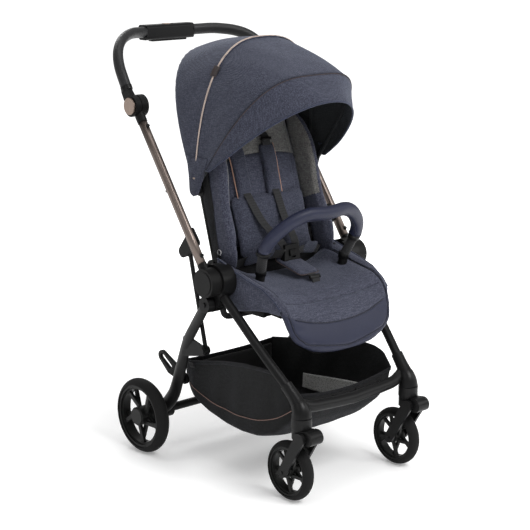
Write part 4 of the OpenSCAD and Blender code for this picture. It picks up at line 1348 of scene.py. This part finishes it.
for name, sgn in RIGHT_LEFT:
    leg = np.array([p for p in bar if p[0] * sgn > 0 and p[2] < 0.594])
    leg = leg[np.argsort(leg[:, 2])]
    o = join("bumper_leg_" + name, [
        sweep("p", leg, oval(0.0128, 0.0118, 24), [WEBBING], (0, -0.5, 1)),
        sweep("p", [leg[-1] + (leg[-1] - leg[-2]) * k for k in (-2.2, -1.4, -0.6, 0.1)],
              oval(0.0182, 0.0155, 28), [PLASTIC_SATIN], (0, -0.5, 1)),
        sweep("p", [(sgn * 0.142, -0.15, 0.5284), (sgn * 0.142, -0.1519, 0.539),
                    (sgn * 0.1422, -0.1525, 0.543)], oval(0.0145, 0.014, 24), [PLASTIC], (0, 1, 0.2),
              scale=lambda t: 1.0 - 0.12 * t)])
    ride(o, "bumper")

# ------------------------------------------------------------------ handlebar grip and push tubes

HANDLE = [(-0.252, 0.234, 0.956), (-0.252, 0.266, 1.012), (-0.24, 0.288, 1.044), (-0.218, 0.308, 1.066),
          (-0.186, 0.331, 1.079), (-0.138, 0.362, 1.085),
          (-0.084, 0.387, 1.082), (0, 0.391, 1.081)]
HANDLE = HANDLE + [(-x, y, z) for x, y, z in HANDLE[-2::-1]]
grip_path = resample(corner_path(HANDLE, 0.022, 6), 0.004)
for name, sgn in RIGHT_LEFT:
    half = np.array([p for p in grip_path if p[0] * sgn > 0.0795])
    half = half[np.argsort(half[:, 1])]
    g = sweep("grip_" + name, half, oval(0.0155, 0.0127, 26, 2.1), [GRIP_LEATHER], (0, -0.64, 0.77))
    if sgn < 0:
        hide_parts("handlebar")
    ride(g, "handle")
    tree = surface(g)
    line = lay_on(tree, half + np.array([0, 0.02, -0.022]), 0.0003, 0.004)
    ride(thread_tube("grip_seam_" + name, line, 0.0007, NAVY_THREAD), "handle")
    line = lay_on(tree, half + np.array([0, 0.024, -0.018]), 0.0002, 0.004)
    ride(stitches("grip_stitching_" + name, line, THREAD), "handle")
    cuff = sweep("grip_cuff_" + name, [half[0] + (half[1] - half[0]) * k for k in (-0.6, 0.4, 1.6, 2.6)],
                 oval(0.0168, 0.014, 28), [PLASTIC_SATIN], (0, -0.64, 0.77))
    modify(cuff, "BEVEL", width=0.0008, segments=2, limit_method="ANGLE")
    ride(cuff, "handle")

PUSH_DIR = np.array([0, 0.207 + 0.078, 0.918 - 0.512])
PUSH_DIR /= np.linalg.norm(PUSH_DIR)
for name, sgn in RIGHT_LEFT:
    a = np.array([sgn * 0.246, -0.078, 0.512]) + PUSH_DIR * 0.03
    b = np.array([sgn * 0.246, 0.207, 0.918]) - PUSH_DIR * 0.034
    prof = []
    for k in range(72):
        t = 2 * pi * k / 72
        x, y = 0.01 * signed_power(cos(t), 2 / 2.4), 0.012 * signed_power(sin(t), 2 / 2.4)
        if abs(cos(t)) > 0.5:
            for gy in (-0.0046, 0.0046):
                x -= math.copysign(0.0009 * math.exp(-((y - gy) / 0.0007) ** 2), x)
        prof.append((x, y))
    tube = sweep("push_tube_body_" + name, [a, a * 0.75 + b * 0.25, (a + b) / 2, a * 0.25 + b * 0.75, b],
                 prof, [BRONZE], (1, 0, 0))
    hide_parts("push_tube_" + name)
    ride(tube, "push_frame")

# ------------------------------------------------------------------ basket

def basket_rim(y):
    return lerp_table(y, [(-0.312, 0.232), (-0.3, 0.262), (-0.27, 0.292), (-0.235, 0.3), (-0.19, 0.3005),
                          (-0.127, 0.297), (-0.05, 0.284), (0.03, 0.266),
                          (0.093, 0.252), (0.138, 0.246)])[0]


def basket_half(y):
    return lerp_table(y, [(-0.301, 0.167), (-0.25, 0.1735), (-0.15, 0.177), (-0.09, 0.174), (-0.03, 0.168),
                          (0.06, 0.165), (0.1, 0.164), (0.138, 0.156)])[0]


def basket_belly(y):
    return lerp_table(y, [(-0.312, 0.222), (-0.3, 0.206), (-0.27, 0.166), (-0.22, 0.126), (-0.16, 0.107),
                          (-0.1, 0.102), (-0.031, 0.104), (0.04, 0.117),
                          (0.08, 0.131), (0.108, 0.144), (0.127, 0.162), (0.138, 0.19)])[0]


P = []
NB = 60
for i in range(NB):
    k = i / (NB - 1)
    y = -0.301 + 0.439 * k
    rim_z, low_z = basket_rim(y), basket_belly(y)
    half = basket_half(y)
    row = []
    for j in range(72):
        t = j / 71 * 2 - 1
        a = abs(t)
        if a > 0.52:
            v = (a - 0.52) / 0.48
            x = half - 0.01 * (1 - v) ** 2.2 - 0.004 * sin(pi * v)
            z = low_z + 0.012 + (rim_z - low_z - 0.012) * v
            x += 0.0014 * sin(y * 70 + v * 4) * sin(pi * v)
        else:
            v = a / 0.52
            x = (half - 0.01) * v
            z = low_z + 0.012 * max(0, v) ** 5 - 0.003 * cos(0.5 * pi * v) + 0.0012 * sin(x * 60) * sin(y * 40)
        row.append((math.copysign(x, t), y, z))
    P.append(row)
P = np.array(P)
body = cloth("basket_body", P, (0, -0.1, 0.24), 0.0026, BASKET_CLOTH)
subdivide(body, 1)
as_sheet(body, P, "hung")
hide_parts("basket")
ride(body, "chassis")
for tag, row, sgn in (("front", P[0], -1), ("back", P[-1], 1)):
    panel = []
    zmax = row[0][2]
    for v in np.linspace(0, 1, 18):
        line = []
        for p in row:
            z = p[2] + (zmax - p[2]) * v
            bulge = sgn * 0.006 * sin(pi * min(1,
                                               (z - row[36][2]) / max(1e-6,
                                                   zmax - row[36][2]))) * (1 - (p[0] / 0.172) ** 4)
            dip = -0.02 * (1 - (p[0] / 0.172) ** 2) * v if tag == "front" else -0.006 * (1 - (p[0] / 0.172) ** 2) * v
            line.append((p[0], p[1] + bulge, z + dip))
        panel.append(line)
    panel = np.array(panel)
    o = cloth("basket_panel_" + tag, panel, (0, -0.1, 0.22), 0.0026, BASKET_CLOTH)
    as_sheet(o, panel, "hung")
    ride(o, "chassis")
    hem = sweep("basket_hem_" + tag, resample(panel[-1], 0.006), oval(0.0045, 0.0028, 14), [BLACK_CLOTH],
                (0, 0, 1))
    ride(hem, "chassis")
for name, sgn in RIGHT_LEFT:
    idx = 0 if sgn < 0 else -1
    edge = P[:, idx]
    hem = sweep("basket_hem_" + name, resample(edge, 0.006), oval(0.005, 0.0026, 14), [BLACK_CLOTH],
                (0, 0, 1))
    ride(hem, "chassis")
    tree = surface(body)
    line = [(sgn * 0.25, y, z) for y, z in ((0.122, 0.188), (0.085, 0.1745), (0.03, 0.16), (-0.04, 0.154),
                                            (-0.11, 0.155), (-0.18, 0.165), (-0.24, 0.186),
                                            (-0.296, 0.222))]
    path = lay_on(tree, smooth_path(line, 8), 0.0006, 0.005, (-sgn, 0, 0))
    ride(thread_tube("basket_piping_" + name, path, 0.001, PIPING_DULL, 0.005), "chassis")
    # mesh pocket on the inner side wall
    pocket = [[(sgn * (basket_half(y) - 0.0135 - 0.002 * (1 - v)), y,
                0.136 + (0.04 + 0.02 * min(1, max(0, (0.01 - y) / 0.215))) * v)
               for y in np.linspace(0.01, -0.205, 50)] for v in np.linspace(0, 1, 14)]
    o = cloth("basket_pocket_" + name, pocket, (sgn * 0.3, -0.1, 0.15), 0.0014, MESH_GREY)
    as_sheet(o, pocket, "hung")
    ride(o, "chassis")
    # hanger loops up to the frame
    for tag, y, z0, top_pt in (("rear", 0.085, basket_rim(0.085), (sgn * 0.186, 0.083, 0.262)),):
        path = smooth_path([(sgn * 0.172, y, z0 - 0.012), (sgn * 0.176, y, z0 + 0.002),
                            (sgn * 0.183, (y + top_pt[1]) / 2, (z0 + top_pt[2]) / 2 + 0.002), top_pt], 6)
        o = ribbon("basket_hanger_" + tag + "_" + name, path, 0.02, 0.0022, WEBBING, (0, 1, 0))
        ride(o, "chassis")
snap_tree = surface(bpy.data.objects["basket_panel_front"])
for k, x in enumerate((-0.12, -0.04, 0.04, 0.12)):
    hit = snap_tree.ray_cast(Vector((x, -0.6, 0.235 - 0.008 * (1 - (x / 0.17) ** 2))), Vector((0, 1, 0)))
    if hit[0] is not None:
        c = np.array(hit[0])
        o = sweep("basket_snap_%d" % k, [c + np.array([0, d, 0]) for d in (0.001, -0.0018, -0.003)],
                  oval(0.0062, 0.0062, 24), [PLASTIC_SATIN], (1, 0, 0),
                  scale=lambda t: 1.0 - 0.35 * t)
        ride(o, "chassis")
liner = []
for v in np.linspace(0, 1, 12):
    liner.append([(x, 0.122 - 0.002 * sin(x * 30), 0.158 + 0.08 * v) for x in np.linspace(-0.14, 0.14, 40)])
o = cloth("basket_mesh_liner", liner, (0, 0.2, 0.2), 0.0016, MESH)
as_sheet(o, liner, "hung")
ride(o, "chassis")


# ------------------------------------------------------------------ studio

def make_stage():
    width, depth, front = 14.0, 10.5, -3.5
    P = [[(-width / 2 + width * j / 23, front + depth * (i / 59), 0.0) for j in range(24)]
         for i in range(60)]
    floor = grid("studio_floor", P, PAPER)
    world = bpy.data.worlds.new("studio")
    scene.world = world
    world.use_nodes = True
    wt = world.node_tree
    bg = wt.nodes["Background"]
    bg.inputs[0].default_value = (1.0, 1.0, 1.0, 1)
    bg.inputs[1].default_value = 0.42
    white = wt.nodes.new("ShaderNodeBackground")
    white.inputs[0].default_value = (1.0, 1.0, 1.0, 1)
    white.inputs[1].default_value = 1.15
    pick = wt.nodes.new("ShaderNodeMixShader")
    wt.links.new(wt.nodes.new("ShaderNodeLightPath").outputs["Is Camera Ray"], pick.inputs[0])
    wt.links.new(bg.outputs[0], pick.inputs[1])
    wt.links.new(white.outputs[0], pick.inputs[2])
    wt.links.new(pick.outputs[0], wt.nodes["World Output"].inputs[0])

    def area(name, at, target, size, power, shape="RECTANGLE", size_y=None):
        light = bpy.data.lights.new(name, "AREA")
        light.shape = shape
        light.size = size
        if size_y:
            light.size_y = size_y
        light.energy = power
        o = bpy.data.objects.new(name, light)
        o.location = at
        o.rotation_euler = (Vector(target) - Vector(at)).to_track_quat("-Z", "Y").to_euler()
        scene.collection.objects.link(o)

    area("key", (0.2, -2.7, 2.9), (0, 0, 0.6), 1.9, 96, size_y=1.3)
    area("fill", (2.6, -2.2, 1.7), (0, 0, 0.5), 2.0, 24, size_y=1.6)
    area("side", (-3.0, -0.6, 2.2), (0, 0, 0.5), 1.6, 9, size_y=1.4)
    area("rim", (0.6, 2.6, 2.5), (0, 0, 0.7), 1.8, 34, size_y=1.2)
    area("top", (0, 0, 3.4), (0, 0, 0.5), 2.2, 30, size_y=2.2)


def make_camera():
    az, el, dist = rad(-41.693), rad(13.842), 3.8464
    focal, centre_u, centre_v, width = 1482.9, 266.15, 276.28, 530
    target = Vector((0, -0.011, 0.475))
    back = Vector((sin(az) * cos(el), -cos(az) * cos(el), sin(el)))
    data = bpy.data.cameras.new("camera")
    data.sensor_width = 36
    data.lens = focal * 36 / width
    data.shift_x = -(centre_u - 265) / width
    data.shift_y = (centre_v - 265) / width
    data.clip_end = 100
    cam = bpy.data.objects.new("camera", data)
    cam.location = target + back * dist
    cam.rotation_euler = (-back).to_track_quat("-Z", "Y").to_euler()
    scene.collection.objects.link(cam)
    scene.camera = cam


make_stage()
make_camera()
scene.view_settings.view_transform = "Standard"
scene.view_settings.look = "None"

# ------------------------------------------------------------------ final scene update

bpy.context.view_layer.update()
